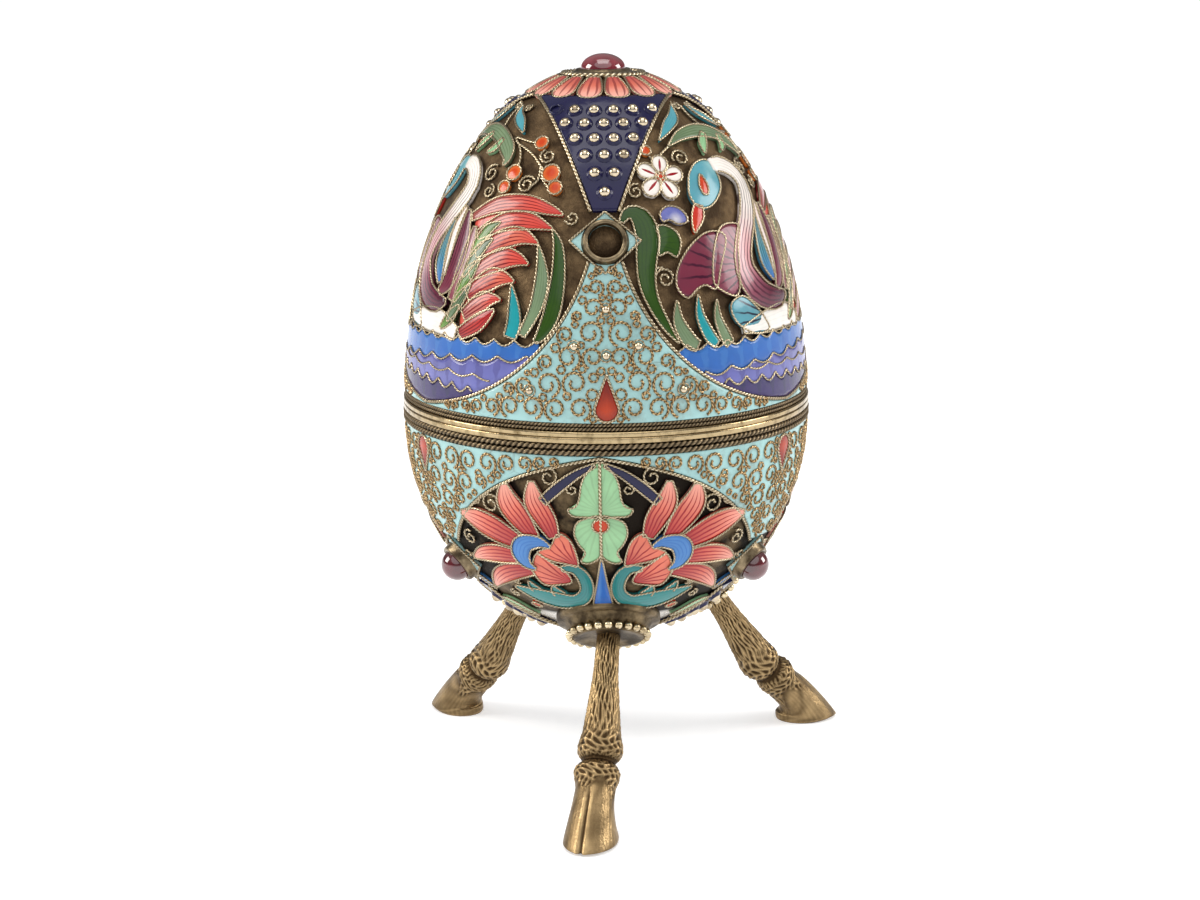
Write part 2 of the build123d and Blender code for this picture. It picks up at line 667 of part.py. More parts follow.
lid_surface = lid_core(0)
lid_shot_places = shot_places(lid_shot_rows, lid_shot_rise, shot_pitch)
lid_shots = seated_shots(lid_shot_places, lid_facing, lid_surface, shot_radius, shot_height)
lid_granules = seated_shots(
    granule_spots, lid_facing, lid_surface, granule_radius, granule_height
)
save("lid_shots", *thirds(lid_shots))
save("lid_granules", *thirds(lid_granules))


# Stone settings: a lozenge plate, a collet soldered in its middle and a domed garnet
def upright(radius, low, high):
    """Cylinder between two heights of its own plane."""
    return Pos(0, 0, (low + high) / 2) * Cylinder(radius, high - low)


def collet(plane, core):
    """Base cut to the shell, and the upright ring on it that holds the stone."""
    floor = collet_height - collet_depth
    base = upright(collet_radius, -collet_height, floor)
    ring = upright(collet_radius, floor, collet_height) - upright(collet_bore, floor, collet_height)
    return Compound(children=[plane.location * base - core, plane.location * ring])


def cabochon(radius, girdle, dome):
    """Domed stone on a short upright girdle."""
    swell = 0.55  # pulls the curve close to a quarter ellipse
    crown = girdle + dome
    top = Bezier((radius, girdle), (radius, girdle + swell * dome), (swell * radius, crown), (0, crown))
    outline = top + Polyline(top @ 1, (0, 0), (radius, 0), top @ 0)
    return revolve(Plane.XZ * make_face(outline), Axis.Z)


def setting_plate(plane, cutter, layer):
    """Lozenge plate round a collet."""
    return (layer & cutter) - plane.location * upright(collet_radius, -collet_height, reach)


garnet = cabochon(collet_bore - stone_clearance, collet_depth, stone_dome)
garnet_seat = Pos(0, 0, collet_height - collet_depth)
lid_plate_layer = lid_core(-plate_proud) - lid_ground
lid_plate = setting_plate(collet_plane, plate_cut, lid_plate_layer)
front_collet = collet(collet_plane, lid_ground)
lid_garnet = collet_plane.location * garnet_seat * garnet

save("lid_setting_plates", *thirds(lid_plate))
save("front_collet", front_collet)
save("lid_collets", *thirds(front_collet)[1:])
save("lid_garnets", *thirds(lid_garnet)[1:])

# Crown of the lid: petals, a rope ring, and a bezel with the large stone
petal_pitch = 360 / petal_count
petal_shoulder = petal_outer - petal_round


def petal_edge(radius):
    """Half the width of a petal at a radius."""
    return radius * sin(radians(petal_pitch / 2)) - petal_gap / 2


shoulder = (petal_edge(petal_shoulder), -petal_shoulder)
root = (petal_edge(petal_inner), -petal_inner)
petal_outline = [
    Polyline(shoulder, root, mirrored(root), mirrored(shoulder)),
    ThreePointArc(mirrored(shoulder), (0, -petal_outer), shoulder),
]
petal_cut = Pos(0, 0, seam_height) * extrude(make_face(petal_outline), amount=reach)
petal = lid_enamel & petal_cut
petals = [petal.rotate(Axis.Z, petal_pitch * (turn + 0.5)) for turn in range(petal_count)]

crown_ring_radius = petal_inner - crown_rope / 2 - petal_gap
crown_rise = degrees(acos(crown_ring_radius / ground_radius))
crown_seat = lid_facing(0, crown_rise, enamel_depth)
crown_middle = crown_seat.origin + crown_seat.z_dir * (crown_rope / 2 + solder)
crown_ring = Pos(0, 0, crown_middle.Z) * Torus(-crown_middle.Y, crown_rope / 2)

pole = seam_height + lid_height - enamel_depth
stone_seat = pole + bezel_floor
bezel_lip = stone_seat + cabochon_girdle
bezel_bore = cabochon_radius + stone_clearance
bezel_base = lid_facing(0, degrees(acos(bezel_foot / ground_radius)), enamel_depth).origin.Z
bezel_outline = Polyline(
    (0, seam_height),
    (bezel_foot, seam_height),
    (bezel_foot, bezel_base + bezel_skirt),
    (bezel_top, bezel_lip),
    (bezel_bore, bezel_lip),
    (bezel_bore, stone_seat),
    (0, stone_seat),
    close=True,
)
bezel = revolve(Plane.XZ * make_face(bezel_outline), Axis.Z) - lid_ground
crown_stone = Pos(0, 0, stone_seat) * cabochon(cabochon_radius, cabochon_girdle, cabochon_dome)

save("crown_petals", *petals)
save("crown_rope_ring", crown_ring)
save("crown_bezel", bezel)
save("crown_cabochon", crown_stone)

# Leg collars, each square to the bowl where it is soldered
legs = []
for leg_name, leg_azimuth, boss_radius, sideways, outwards in leg_places:
    boss_fall = degrees(acos(boss_radius / ground_radius))
    seat = bowl_facing(leg_azimuth, boss_fall, enamel_depth)
    drift = turned(leg_azimuth + 90, sideways, 0) + turned(leg_azimuth, outwards, 0)
    legs.append((leg_name, Plane(seat.origin, x_dir=seat.y_dir, z_dir=seat.z_dir), drift))

lip_base = collar_height - bead_band
collar_outline = Polyline(
    (0, -collar_seat),
    (collar_radius, -collar_seat),
    (collar_radius, 0),
    (collar_waist, collar_step),
    (collar_lip, lip_base),
    (collar_lip, collar_height),
    (0, collar_height),
    close=True,
)
tenon_floor = collar_height - tenon_length
collar_bore = upright(tenon_radius + tenon_clearance, tenon_floor, reach)
collar_blank = revolve(Plane.XZ * make_face(collar_outline), Axis.Z) - collar_bore
collar_stock = upright(collar_radius, -collar_seat, reach)

bead_ring_outer = collar_lip + bead_radius
bead_count = round(2 * pi * bead_ring_outer / bead_pitch)
bead_band_ring = upright(bead_ring_outer, lip_base, collar_height) - upright(collar_lip, 0, reach)
bead_half = extrude(RegularPolygon(bead_radius, bead_sides), amount=bead_radius, taper=bead_taper)
bead = bead_half + mirror(bead_half, Plane.XY)
bead_middle = (lip_base + collar_height) / 2
beads = [
    Rot(0, 0, 360 / bead_count * turn) * Pos(bead_ring_outer, 0, bead_middle) * bead
    for turn in range(bead_count)
]
bead_ring = Part() + bead_band_ring + beads


def oval(depth, width):
    """Smooth closed section, its points spread evenly from the front of the leg."""
    turns = [2 * pi * step / oval_points for step in range(oval_points)]
    points = [(depth / 2 * cos(turn), width / 2 * sin(turn)) for turn in turns]
    return make_face(Spline(*points, periodic=True))


def hoofed_leg(plane, drift):
    """Leg from its tenon in the collar to a cloven hoof on the floor, its foot carried off by a drift."""
    swing = radians(leg_swing)
    start = plane.origin + plane.z_dir * collar_height
    foot = plane.origin + plane.z_dir * (plane.origin.Z / -plane.z_dir.Z) + drift
    run = (foot - start).length
    down = (foot - start).normalized()
    swung = plane.x_dir * cos(swing) + plane.y_dir * sin(swing)
    outward = (swung - down * swung.dot(down)).normalized()

    def section(share, sway, depth, width, bend):
        lean = radians(bend)
        middle = start + down * (share * run) + outward * sway
        across = outward * cos(lean) - down * sin(lean)
        along = down * cos(lean) + outward * sin(lean)
        return Plane(middle, x_dir=across, z_dir=along).location * oval(depth, width)

    level = Vector(outward.X, outward.Y, 0).normalized()
    toe = foot + level * (hoof_reach + hoof_length / 2)

    def footprint(height, beyond, length, width):
        middle = foot + level * beyond
        spot = Plane((middle.X, middle.Y, height), x_dir=level, z_dir=(0, 0, -1))
        return spot.location * oval(length, width)

    top = Plane(start, x_dir=swung, z_dir=plane.z_dir).location * oval(leg_top_depth, leg_top_width)
    shank = [top] + [section(*row) for row in shank_sections]
    groove = section(*groove_section)
    hoof = [section(*row) for row in hoof_sections]
    soles = [
        footprint(hoof_edge, hoof_reach, hoof_length, hoof_width),
        footprint(0, sole_reach, sole_length, sole_width),
    ]
    body = loft(shank) + loft([shank[-1], groove] + hoof + soles, ruled=True)
    cleft_foot = Plane((toe.X, toe.Y, 0), x_dir=level, z_dir=level.cross(Vector(0, 0, 1)))
    cleft_outline = Polyline(
        (-cleft_depth, -cleft_width),
        (cleft_width, -cleft_width),
        (cleft_width, cleft_height),
        (-cleft_depth, cleft_height),
        close=True,
    )
    cleft_face = cleft_foot.location * make_face(cleft_outline)
    body -= extrude(cleft_face, amount=cleft_width / 2, both=True)
    return body + plane.location * upright(tenon_radius, tenon_floor, collar_height)


for leg_name, plane, drift in legs:
    save(f"collar_{leg_name}", plane.location * collar_blank - bowl_ground)
    save(f"bead_ring_{leg_name}", plane.location * bead_ring)
    save(f"leg_{leg_name}", hoofed_leg(plane, drift))

# Bowl panels, about half a repeat round from the lid's fields
bowl_start = half_repeat + bowl_turn
bowl_enamel = bowl_layer(0)
bowl_wires = bowl_layer(wire_proud)
bowl_plane = facing((0, 0, seam_height), 0, 0)
bowl_foot = turned(bowl_field_foot, egg_radius, bowl_centre)
bowl_points = (bowl_spot(*bowl_field_tip), bowl_spot(*bowl_field_waist), bowl_foot)
bowl_field_cut = concave_field(bowl_plane, *bowl_points, 0, wire_width)
bowl_field_span = concave_field(bowl_plane, *bowl_points, wire_width, wire_width)
bowl_border_cut = bowl_field_span - bowl_field_cut

bowl_collet_plane = bowl_facing(0, bowl_collet_fall, enamel_depth)
bowl_plate_cut = prism(
    bowl_collet_plane, [Polyline(*plate_corners, close=True)], plate_half_width
)
bowl_navy_plane = bowl_facing(0, between((bowl_navy_tip[1], bowl_navy_corner[1]), 1, 3))
bowl_navy_points = (
    bowl_spot(*bowl_navy_tip), bowl_spot(*bowl_navy_corner), bowl_spot(0, bowl_navy_corner[1])
)
bowl_navy_cut = fan_field(bowl_navy_plane, *bowl_navy_points, 0)
bowl_navy_span = fan_field(bowl_navy_plane, *bowl_navy_points, wire_width)
bowl_edge_cut = bowl_navy_span - bowl_navy_cut

bowl_drop_height = bowl_centre - drop_lift - bowl_drop_radius
bowl_drop_plane = facing((0, 0, bowl_drop_height), 0, 0)
bowl_drop_cut = drop_cutter(bowl_drop_plane, bowl_drop_length, bowl_drop_radius, 0, False)
bowl_drop_ring = drop_cutter(
    bowl_drop_plane, bowl_drop_length, bowl_drop_radius, drop_wire, False
)

collar_stocks = [plane.location * collar_stock for leg_name, plane, drift in legs]


def bowl_thirds(shape):
    """Copies round the bowl, cleared where the leg collars stand."""
    return [copy - collar_stocks for copy in thirds(shape, bowl_start)]


bowl_field = (bowl_enamel & bowl_field_cut) - bowl_plate_cut - bowl_drop_ring
bowl_navy = (bowl_enamel & bowl_navy_cut) - bowl_plate_cut
bowl_field_border = (bowl_wires & bowl_border_cut) - bowl_plate_cut
bowl_navy_border = (bowl_wires & bowl_edge_cut) - bowl_plate_cut
bowl_borders = Part() + thirds(bowl_field_border, bowl_start)
save("bowl_turquoise_fields", *[field - bowl_borders for field in thirds(bowl_field, bowl_start)])
save("bowl_navy_fields", *bowl_thirds(bowl_navy))
save("bowl_field_borders", bowl_borders)
save("bowl_navy_borders", *bowl_thirds(bowl_navy_border))
save("bowl_teardrops", *thirds(bowl_enamel & bowl_drop_cut, bowl_start))
save("bowl_teardrop_wires", *thirds(bowl_wires & (bowl_drop_ring - bowl_drop_cut), bowl_start))

bowl_shot_places = shot_places(bowl_shot_rows, bowl_shot_fall, shot_pitch)
bowl_shots = seated_shots(bowl_shot_places, bowl_facing, bowl_core(0), shot_radius, shot_height)
save("bowl_shots", *thirds(bowl_shots, bowl_start))

bowl_plate = setting_plate(bowl_collet_plane, bowl_plate_cut, bowl_layer(plate_proud))
bowl_collet = collet(bowl_collet_plane, bowl_ground)
bowl_garnet = bowl_collet_plane.location * garnet_seat * garnet
save("bowl_setting_plates", *thirds(bowl_plate, bowl_start))
save("bowl_collets", *thirds(bowl_collet, bowl_start))
save("bowl_garnets", *thirds(bowl_garnet, bowl_start))

# Flower pictures on the bowl, the same on both sides of a lily
bowl_fences = both_sides([bowl_field_span, bowl_navy_span, bowl_plate_cut])


def half_cuts(cells):
    """Cutters for cells of one half of the picture and for their mirror images."""
    return [
        cell_cut(bowl_map, [(way * row[0], *row[1:]) for row in rows]) for rows in cells for way in (1, -1)
    ]


def bowl_panels(cells):
    """Copies of a panel's cells round the bowl, cleared where the leg collars stand."""
    copies = [copy - collar_stocks for copy in panels(cells, bowl_turn)]
    return [max(copy.solids(), key=lambda solid: solid.volume) for copy in copies]


lily_cuts = [cell_cut(bowl_map, rows) for rows in lily_cells]
petal_cuts = half_cuts(petal_cells)
frond_cuts = half_cuts(frond_cells)
save("bowl_lilies", *bowl_panels(laid_cells(bowl_enamel, lily_cuts, bowl_fences)))
save("bowl_flowers", *bowl_panels(laid_cells(bowl_enamel, petal_cuts, bowl_fences + lily_cuts)))
save("bowl_leaves", *bowl_panels(laid_cells(bowl_enamel, frond_cuts, bowl_fences + lily_cuts + petal_cuts)))
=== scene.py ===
import bpy
import numpy as np
from mathutils import Matrix


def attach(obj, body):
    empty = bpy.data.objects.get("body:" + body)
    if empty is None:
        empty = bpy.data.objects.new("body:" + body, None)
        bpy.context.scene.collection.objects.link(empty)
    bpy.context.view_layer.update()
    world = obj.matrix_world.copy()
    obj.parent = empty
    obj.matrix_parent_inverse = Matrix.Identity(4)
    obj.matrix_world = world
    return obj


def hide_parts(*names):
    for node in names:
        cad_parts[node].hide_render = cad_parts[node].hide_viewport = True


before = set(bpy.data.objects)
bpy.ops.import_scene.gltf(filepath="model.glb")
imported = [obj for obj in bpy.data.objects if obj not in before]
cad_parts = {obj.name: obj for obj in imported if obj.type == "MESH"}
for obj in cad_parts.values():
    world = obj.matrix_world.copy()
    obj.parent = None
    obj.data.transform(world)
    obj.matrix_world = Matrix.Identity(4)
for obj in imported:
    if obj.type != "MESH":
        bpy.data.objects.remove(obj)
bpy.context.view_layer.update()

mm = 0.001
turn = 2 * np.pi
scene = bpy.context.scene
scene.view_settings.view_transform = "Standard"

# the egg's own figures, in millimetres, as the solids have them
egg = {"radius": 30.0, "seam": 58.0, "bed": 0.5, "wall": 1.0, "bowlTurn": -2.0}
eggR, seamZ, bedDepth = egg["radius"], egg["seam"], egg["bed"]
innerR = eggR - bedDepth - egg["wall"]
rises = np.linspace(0, np.radians(89.6), 4000)


def flankTable(height):
    # height on an evenly scaled map of the flank: arc length over girth, added up from the seam
    step = np.hypot(eggR * np.sin(rises), height * np.cos(rises)) / np.cos(rises)
    return np.r_[0, np.cumsum((step[1:] + step[:-1]) / 2 * np.diff(rises))]


def bowlAngles(*angles):
    # azimuths on the bowl, whose ornament is turned a little from the lid's
    return tuple(a + egg["bowlTurn"] for a in angles)


# each half: the way it runs from the seam, its half-axis and middle, the upright band at the seam, the depth of
# its edge ring, and the azimuths of the turquoise fields and of the panels between them
lid = {"name": "lid", "way": 1, "height": 48.8, "centre": 58.0, "band": 0.0, "ring": 0.8,
       "fields": (0, 120, 240), "panels": (60, 180, 300)}
bowl = {"name": "bowl", "way": -1, "height": 33.3, "centre": 55.3, "band": 2.7, "ring": 0.9,
        "fields": bowlAngles(60, 180, 300), "panels": bowlAngles(0, 120, 240)}
halves = (lid, bowl)
for side in halves:
    side["map"] = flankTable(side["height"])

# enamel colours as seen, 0 to 255
paint = {
    "turquoise": (160, 202, 201), "aqua": (86, 150, 164), "teal": (34, 146, 154), "petrol": (40, 128, 126),
    "mint": (152, 200, 150), "sage": (116, 136, 104), "bottle": (46, 74, 20), "lime": (112, 150, 68),
    "cobalt": (44, 96, 172), "sky": (72, 128, 190), "periwinkle": (104, 106, 172), "indigo": (48, 32, 92),
    "navy": (20, 16, 60), "coral": (216, 90, 76), "blush": (234, 166, 148), "ember": (188, 44, 38),
    "wine": (112, 16, 26), "plum": (114, 44, 62), "aubergine": (62, 20, 40), "mauve": (160, 92, 108),
    "white": (238, 230, 222), "pink": (224, 168, 170), "orange": (190, 60, 14), "salmon": (222, 116, 92),
    "crimson": (150, 24, 34), "ink": (22, 34, 54), "moss": (28, 52, 24), "rust": (122, 26, 8),
    "amber": (226, 126, 54),
}
# tints that run along a cell from its root to its tip
flame = ("blush", "coral", "ember")
glowing = ("coral", "salmon", "ember")
bloomTints = ("ember", "salmon", "blush")
cheek = ("ember", "salmon", "salmon")


def linear(name):
    # a painted colour as linear light: the sRGB curve undone
    v = np.array(paint[name]) / 255.0
    return np.where(v <= 0.04045, v / 12.92, ((v + 0.055) / 1.055) ** 2.4)


def hue(names, u):
    # colours along a run: the named tints evenly spaced, blended between
    names = (names,) if isinstance(names, str) else names
    table = np.array([linear(n) for n in names])
    return np.stack([np.interp(u, np.linspace(0, 1, len(names)), table[:, k]) for k in range(3)], -1)


def unit(v):
    # vectors divided by their own length
    return v / np.maximum(np.linalg.norm(v, axis=-1, keepdims=True), 1e-12)


def flankY(side, t):
    # height on the map for a rise in radians: the upright band, then the table
    return side["way"] * (side["band"] + np.interp(t, rises, side["map"]))


def riseAt(side, y):
    # the rise in radians at a height on the map: the table read backwards
    return np.interp(side["way"] * y - side["band"], side["map"], rises)


def onEgg(side, x, y, h):
    # map place to space: azimuth is x over the radius, rise is read from the map, h goes outwards
    a, t = x / eggR, riseAt(side, y)
    r = (eggR + h) * np.cos(t)
    climb = np.minimum(side["way"] * y, side["band"]) + (side["height"] + h) * np.sin(t)
    return np.stack(np.broadcast_arrays(r * np.sin(a), -r * np.cos(a), seamZ + side["way"] * climb), -1)


def eggNormal(side, x, y):
    # the way out: the ellipsoid's direction at that azimuth and rise, each part over its half-axis
    a, t = x / eggR, riseAt(side, y)
    level, steep = np.cos(t) / eggR, side["way"] * np.sin(t) / side["height"]
    return unit(np.stack(np.broadcast_arrays(level * np.sin(a), -level * np.cos(a), steep), -1))


def seat(side, x, y, h):
    # a place on the egg with its axes: along the girth, up the flank, outwards
    n = eggNormal(side, x, y)
    across = np.array([np.cos(x / eggR), np.sin(x / eggR), 0.0])
    return onEgg(side, x, y, h), np.stack([across, np.cross(n, across), n])


def looped(rows, cols, wrapRows):
    # faces of a grid whose columns run round in a loop, and its rows too if asked
    i = np.arange(rows if wrapRows else rows - 1)[:, None]
    j = np.arange(cols)[None, :]
    n, k = (i + 1) % rows, (j + 1) % cols
    corners = np.broadcast_arrays(i * cols + j, i * cols + k, n * cols + k, n * cols + j)
    return np.stack(corners, -1).reshape(-1, 4)


def facing(co, quads, caps):
    # six times the volume that the faces hold, to tell which way they look
    a, b, c, d = (co[quads[:, k]] for k in range(4))
    total = (np.cross(a, b) * c).sum() + (np.cross(a, c) * d).sum()
    if len(caps):
        ring = co[caps]
        total += (np.cross(ring, np.roll(ring, -1, 1)) * ring.mean(1, keepdims=True)).sum()
    return total


def solid(points, wrapRows=False, **marks):
    # a grid of points made a closed part: loops joined along the rows, ends capped, faces outwards
    rows, cols = points.shape[:2]
    co = points.reshape(-1, 3)
    quads = looped(rows, cols, wrapRows)
    caps = np.zeros((0, cols), int)
    if not wrapRows:
        caps = np.stack([np.arange(cols)[::-1], np.arange(cols) + (rows - 1) * cols])
    if facing(co, quads, caps) < 0:
        quads, caps = quads[:, ::-1], caps[:, ::-1]
    for name, value in marks.items():
        marks[name] = np.broadcast_to(value, (rows, cols, np.shape(value)[-1])).reshape(rows * cols, -1)
    return {"co": co, "quads": quads, "caps": caps, "marks": marks}


def spread(parts, angles):
    # parts carried round the egg's axis to each of some azimuths
    copies = []
    for a in np.radians(angles):
        m = np.array([[np.cos(a), -np.sin(a), 0], [np.sin(a), np.cos(a), 0], [0, 0, 1]])
        copies += [{**part, "co": part["co"] @ m.T} for part in parts]
    return copies


def settled(part, origin, axes):
    # a part set down with its own x, y and z along three axes
    return {**part, "co": origin + part["co"] @ axes}


# attributes of a mesh: kind, field and count of numbers
markKinds = {"tint": ("FLOAT_COLOR", "color", 3), "deep": ("FLOAT_COLOR", "color", 3),
             "grain": ("FLOAT_VECTOR", "vector", 3), "lobe": ("FLOAT", "value", 1)}


def makePiece(name, body, material, parts, nodes=(), flat=False):
    # parts joined in one mesh, in metres, with their marks as attributes
    starts = np.cumsum([0] + [len(p["co"]) for p in parts])
    co = np.concatenate([p["co"] for p in parts]) * mm
    loops = np.concatenate([np.r_[p["quads"].ravel(), p["caps"].ravel()] + s for p, s in zip(parts, starts)])
    sizes = np.concatenate([np.repeat([4, p["caps"].shape[1]], [len(p["quads"]), len(p["caps"])]) for p in parts])
    mesh = bpy.data.meshes.new(name)
    mesh.vertices.add(len(co))
    mesh.vertices.foreach_set("co", co.astype(np.float32).ravel())
    mesh.loops.add(len(loops))
    mesh.loops.foreach_set("vertex_index", loops.astype(np.int32))
    mesh.polygons.add(len(sizes))
    mesh.polygons.foreach_set("loop_start", np.r_[0, np.cumsum(sizes)[:-1]].astype(np.int32))
    mesh.polygons.foreach_set("use_smooth", (sizes == 4) & (not flat))
    for mark, (kind, field, width) in markKinds.items():
        if not any(mark in p["marks"] for p in parts):
            continue
        value = np.concatenate([p["marks"].get(mark, np.zeros((len(p["co"]), width))) for p in parts])
        if field == "color":
            value = np.c_[value, np.ones(len(value))]
        layer = mesh.attributes.new(mark, kind, "POINT")
        layer.data.foreach_set(field, value.astype(np.float32).ravel())
    mesh.update(calc_edges=True)
    mesh.validate()
    mesh.materials.append(material)
    obj = bpy.data.objects.new(name, mesh)
    scene.collection.objects.link(obj)
    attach(obj, body)
    if nodes:
        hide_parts(*nodes)
    return obj


def dress(side, name, material, parts, node=None):
    # a piece of one half whose parts repeat in that half's three fields
    nodes = [side["name"] + "_" + node] if node else ()
    makePiece(side["name"] + "_" + name, side["name"], material, spread(parts, side["fields"]), nodes)


def curve(points, count, closed=False):
    # a smooth line through points: cubic pieces whose slopes come from the neighbours
    p = np.asarray(points, float)
    n = len(p)
    t = np.linspace(0, n if closed else n - 1, count, endpoint=not closed)
    i = np.minimum(t.astype(int), n - 1 if closed else n - 2)
    f = (t - i)[:, None]
    near = [(i + k) % n if closed else np.clip(i + k, 0, n - 1) for k in (-1, 0, 1, 2)]
    a, b, c, d = (p[k] for k in near)
    return 0.5 * (2 * b + (c - a) * f + (2 * a - 5 * b + 4 * c - d) * f ** 2 + (3 * b - a - 3 * c + d) * f ** 3)


wireWork = {"sides": 6, "ringsPerStrand": 5, "round": 0.77, "strand": 0.23}


def twisted(points, normals, gauge, pitch, closed, sides=wireWork["sides"]):
    # a two-strand twist: an oval section, turning half round at each pitch, carried along a line
    if closed:
        points, normals = np.vstack([points, points[:1]]), np.vstack([normals, normals[:1]])
    run = np.r_[0, np.cumsum(np.linalg.norm(np.diff(points, axis=0), axis=1))]
    strands = max(round(run[-1] / pitch), 3)
    count = strands * wireWork["ringsPerStrand"] + (0 if closed else 1)
    s = np.linspace(0, run[-1], count, endpoint=not closed)
    p = np.stack([np.interp(s, run, points[:, k]) for k in range(3)], -1)
    n = unit(np.stack([np.interp(s, run, normals[:, k]) for k in range(3)], -1))
    t = unit(np.roll(p, -1, 0) - np.roll(p, 1, 0)) if closed else unit(np.gradient(p, axis=0))
    across = unit(np.cross(t, n))
    up = np.cross(across, t)
    a = np.linspace(0, turn, sides, endpoint=False)[None, :]
    lobe = np.cos(2 * a - turn * strands * (s / run[-1])[:, None])
    r = gauge / 2 * (wireWork["round"] + wireWork["strand"] * lobe)
    ring = np.cos(a)[..., None] * across[:, None] + np.sin(a)[..., None] * up[:, None]
    # the lobe mark, high on the strands' crests, later gives them painted highlight and the grooves painted shade
    return solid(p[:, None] + r[..., None] * ring, closed, lobe=(0.5 + 0.5 * lobe)[..., None])


def wireOn(side, path, gauge, pitch, closed, lift):
    # a wire laid on the egg along a path on the map
    x, y = np.asarray(path, float).T
    return twisted(onEgg(side, x, y, lift), eggNormal(side, x, y), gauge, pitch, closed)


def scroll(x, y, radius, start, turns, inner=0.22):
    # a spiral whose radius shrinks evenly as it turns, down to a share of itself
    t = np.linspace(0, 1, 36)
    r, a = radius * (1 - (1 - inner) * t), np.radians(start) + turn * turns * t
    return np.stack([x + r * np.cos(a), y + r * np.sin(a)], -1)


def ringPath(x, y, radius):
    # a circle on the map: its middle plus the radius times cosine and sine
    a = np.linspace(0, turn, 28, endpoint=False)
    return np.stack([x + radius * np.cos(a), y + radius * np.sin(a)], -1)


def mirrored(path):
    # the same path on the other side of the field's middle: x negated
    return path * [-1, 1]


# height of a cell's foot and of its dome, counts of rows and places across
cellWork = {"foot": -0.45, "crown": 0.1, "stations": 22, "outline": 40, "thin": 0.05}
acrossTop = np.array([-1, -0.66, -0.33, 0, 0.33, 0.66, 1])
patchRings = np.array([0.03, 0.35, 0.65, 0.88, 1, 1])
fanOut = 1.6  # how fast the strokes of a rounded cell spread from their focus


def ribbon(side, rows, tint, deep, streak, level):
    # a leaf-shaped cell: a spine with half-widths, domed a little across, closed down to the metal
    c = curve(rows, cellWork["stations"])
    t = unit(np.gradient(c[:, :2], axis=0))
    n = np.stack([-t[:, 1], t[:, 0]], -1)
    v = np.r_[acrossTop, 1, -1]
    h = np.r_[level + cellWork["crown"] * (1 - acrossTop ** 2), cellWork["foot"], cellWork["foot"]]
    half = np.maximum(c[:, 2], cellWork["thin"])
    xy = c[:, None, :2] + (v[None, :] * half[:, None])[..., None] * n[:, None]
    u = np.broadcast_to(np.linspace(0, 1, len(c))[:, None], xy.shape[:2])
    grain = np.stack([u, np.broadcast_to(v, u.shape), np.full(u.shape, streak)], -1)
    part = solid(onEgg(side, xy[..., 0], xy[..., 1], h), tint=hue(tint, u), deep=hue(deep, u), grain=grain)
    edge = np.vstack([c[:, :2] + half[:, None] * n, (c[:, :2] - half[:, None] * n)[::-1]])
    return part, edge


def patch(side, outline, tint, deep, streak, focus, level, smooth=True):
    # a rounded cell: rings from its middle to its outline, domed a little, strokes fan out from a focus
    o = curve(outline, cellWork["outline"], True) if smooth else np.asarray(outline, float)
    mid = o.mean(0)
    focus = mid if focus is None else np.asarray(focus, float)
    h = level + cellWork["crown"] * (1 - patchRings ** 2)
    h[-1] = cellWork["foot"]
    xy = mid + patchRings[:, None, None] * (o - mid)[None]
    away = xy - focus
    reach = np.linalg.norm(away, axis=-1)
    axis = mid - focus if np.linalg.norm(mid - focus) > 0.1 else np.array([0.0, 1.0])
    swing = np.arctan2(axis[0] * away[..., 1] - axis[1] * away[..., 0], (away * axis).sum(-1))
    u = reach / reach.max()
    grain = np.stack([u, fanOut * swing, np.full(u.shape, streak)], -1)
    points = onEgg(side, xy[..., 0], xy[..., 1], h[:, None])
    return solid(points, tint=hue(tint, u), deep=hue(deep, u), grain=grain), o


def spun(profile, segments, loop=False, **marks):
    # a profile of radius and height turned about z; a loop joins its ends, others close on the axis
    profile = np.asarray(profile, float)
    r, z = np.maximum(profile[:, :1], 0.002), profile[:, 1:]
    a = np.linspace(0, turn, segments, endpoint=False)
    return solid(np.stack(np.broadcast_arrays(r * np.cos(a), r * np.sin(a), z), -1), loop, **marks)


def fresh(name):
    # a node material with its tree and its main shader
    mat = bpy.data.materials.new(name)
    mat.use_nodes = True
    return mat, mat.node_tree, mat.node_tree.nodes["Principled BSDF"]


def add(tree, kind, settings=None, inputs=None):
    # a node with its settings; each input is a link if given a socket, else a constant
    n = tree.nodes.new(kind)
    for k, v in (settings or {}).items():
        setattr(n, k, v)
    for k, v in (inputs or {}).items():
        if isinstance(v, bpy.types.NodeSocket):
            tree.links.new(v, n.inputs[k])
        else:
            n.inputs[k].default_value = v
    return n


def calc(tree, operation, a, b=0.0, clamp=False):
    # one step of arithmetic on two values, held between 0 and 1 if asked
    return add(tree, "ShaderNodeMath", {"operation": operation, "use_clamp": clamp}, {0: a, 1: b}).outputs[0]


def blend(tree, factor, a, b):
    # colour a where the factor is 0, b where it is 1
    kind = {"data_type": "RGBA", "blend_type": "MIX"}
    return add(tree, "ShaderNodeMix", kind, {0: factor, 6: a, 7: b}).outputs[2]


def place(tree):
    # the object's own coordinates
    return add(tree, "ShaderNodeTexCoord").outputs["Object"]


def spots(tree, scale, detail=3.0, rough=0.55):
    # noise on the object's own coordinates
    inputs = {"Vector": place(tree), "Scale": scale, "Detail": detail, "Roughness": rough}
    return add(tree, "ShaderNodeTexNoise", None, inputs).outputs["Fac"]


def between(tree, value, low, high, toLow=0.0, toHigh=1.0):
    # a value carried from one range to another in proportion, held at its ends
    return add(tree, "ShaderNodeMapRange", None, {0: value, 1: low, 2: high, 3: toLow, 4: toHigh}).outputs[0]


def mark(tree, name):
    # an attribute of the mesh
    return add(tree, "ShaderNodeAttribute", {"attribute_name": name})


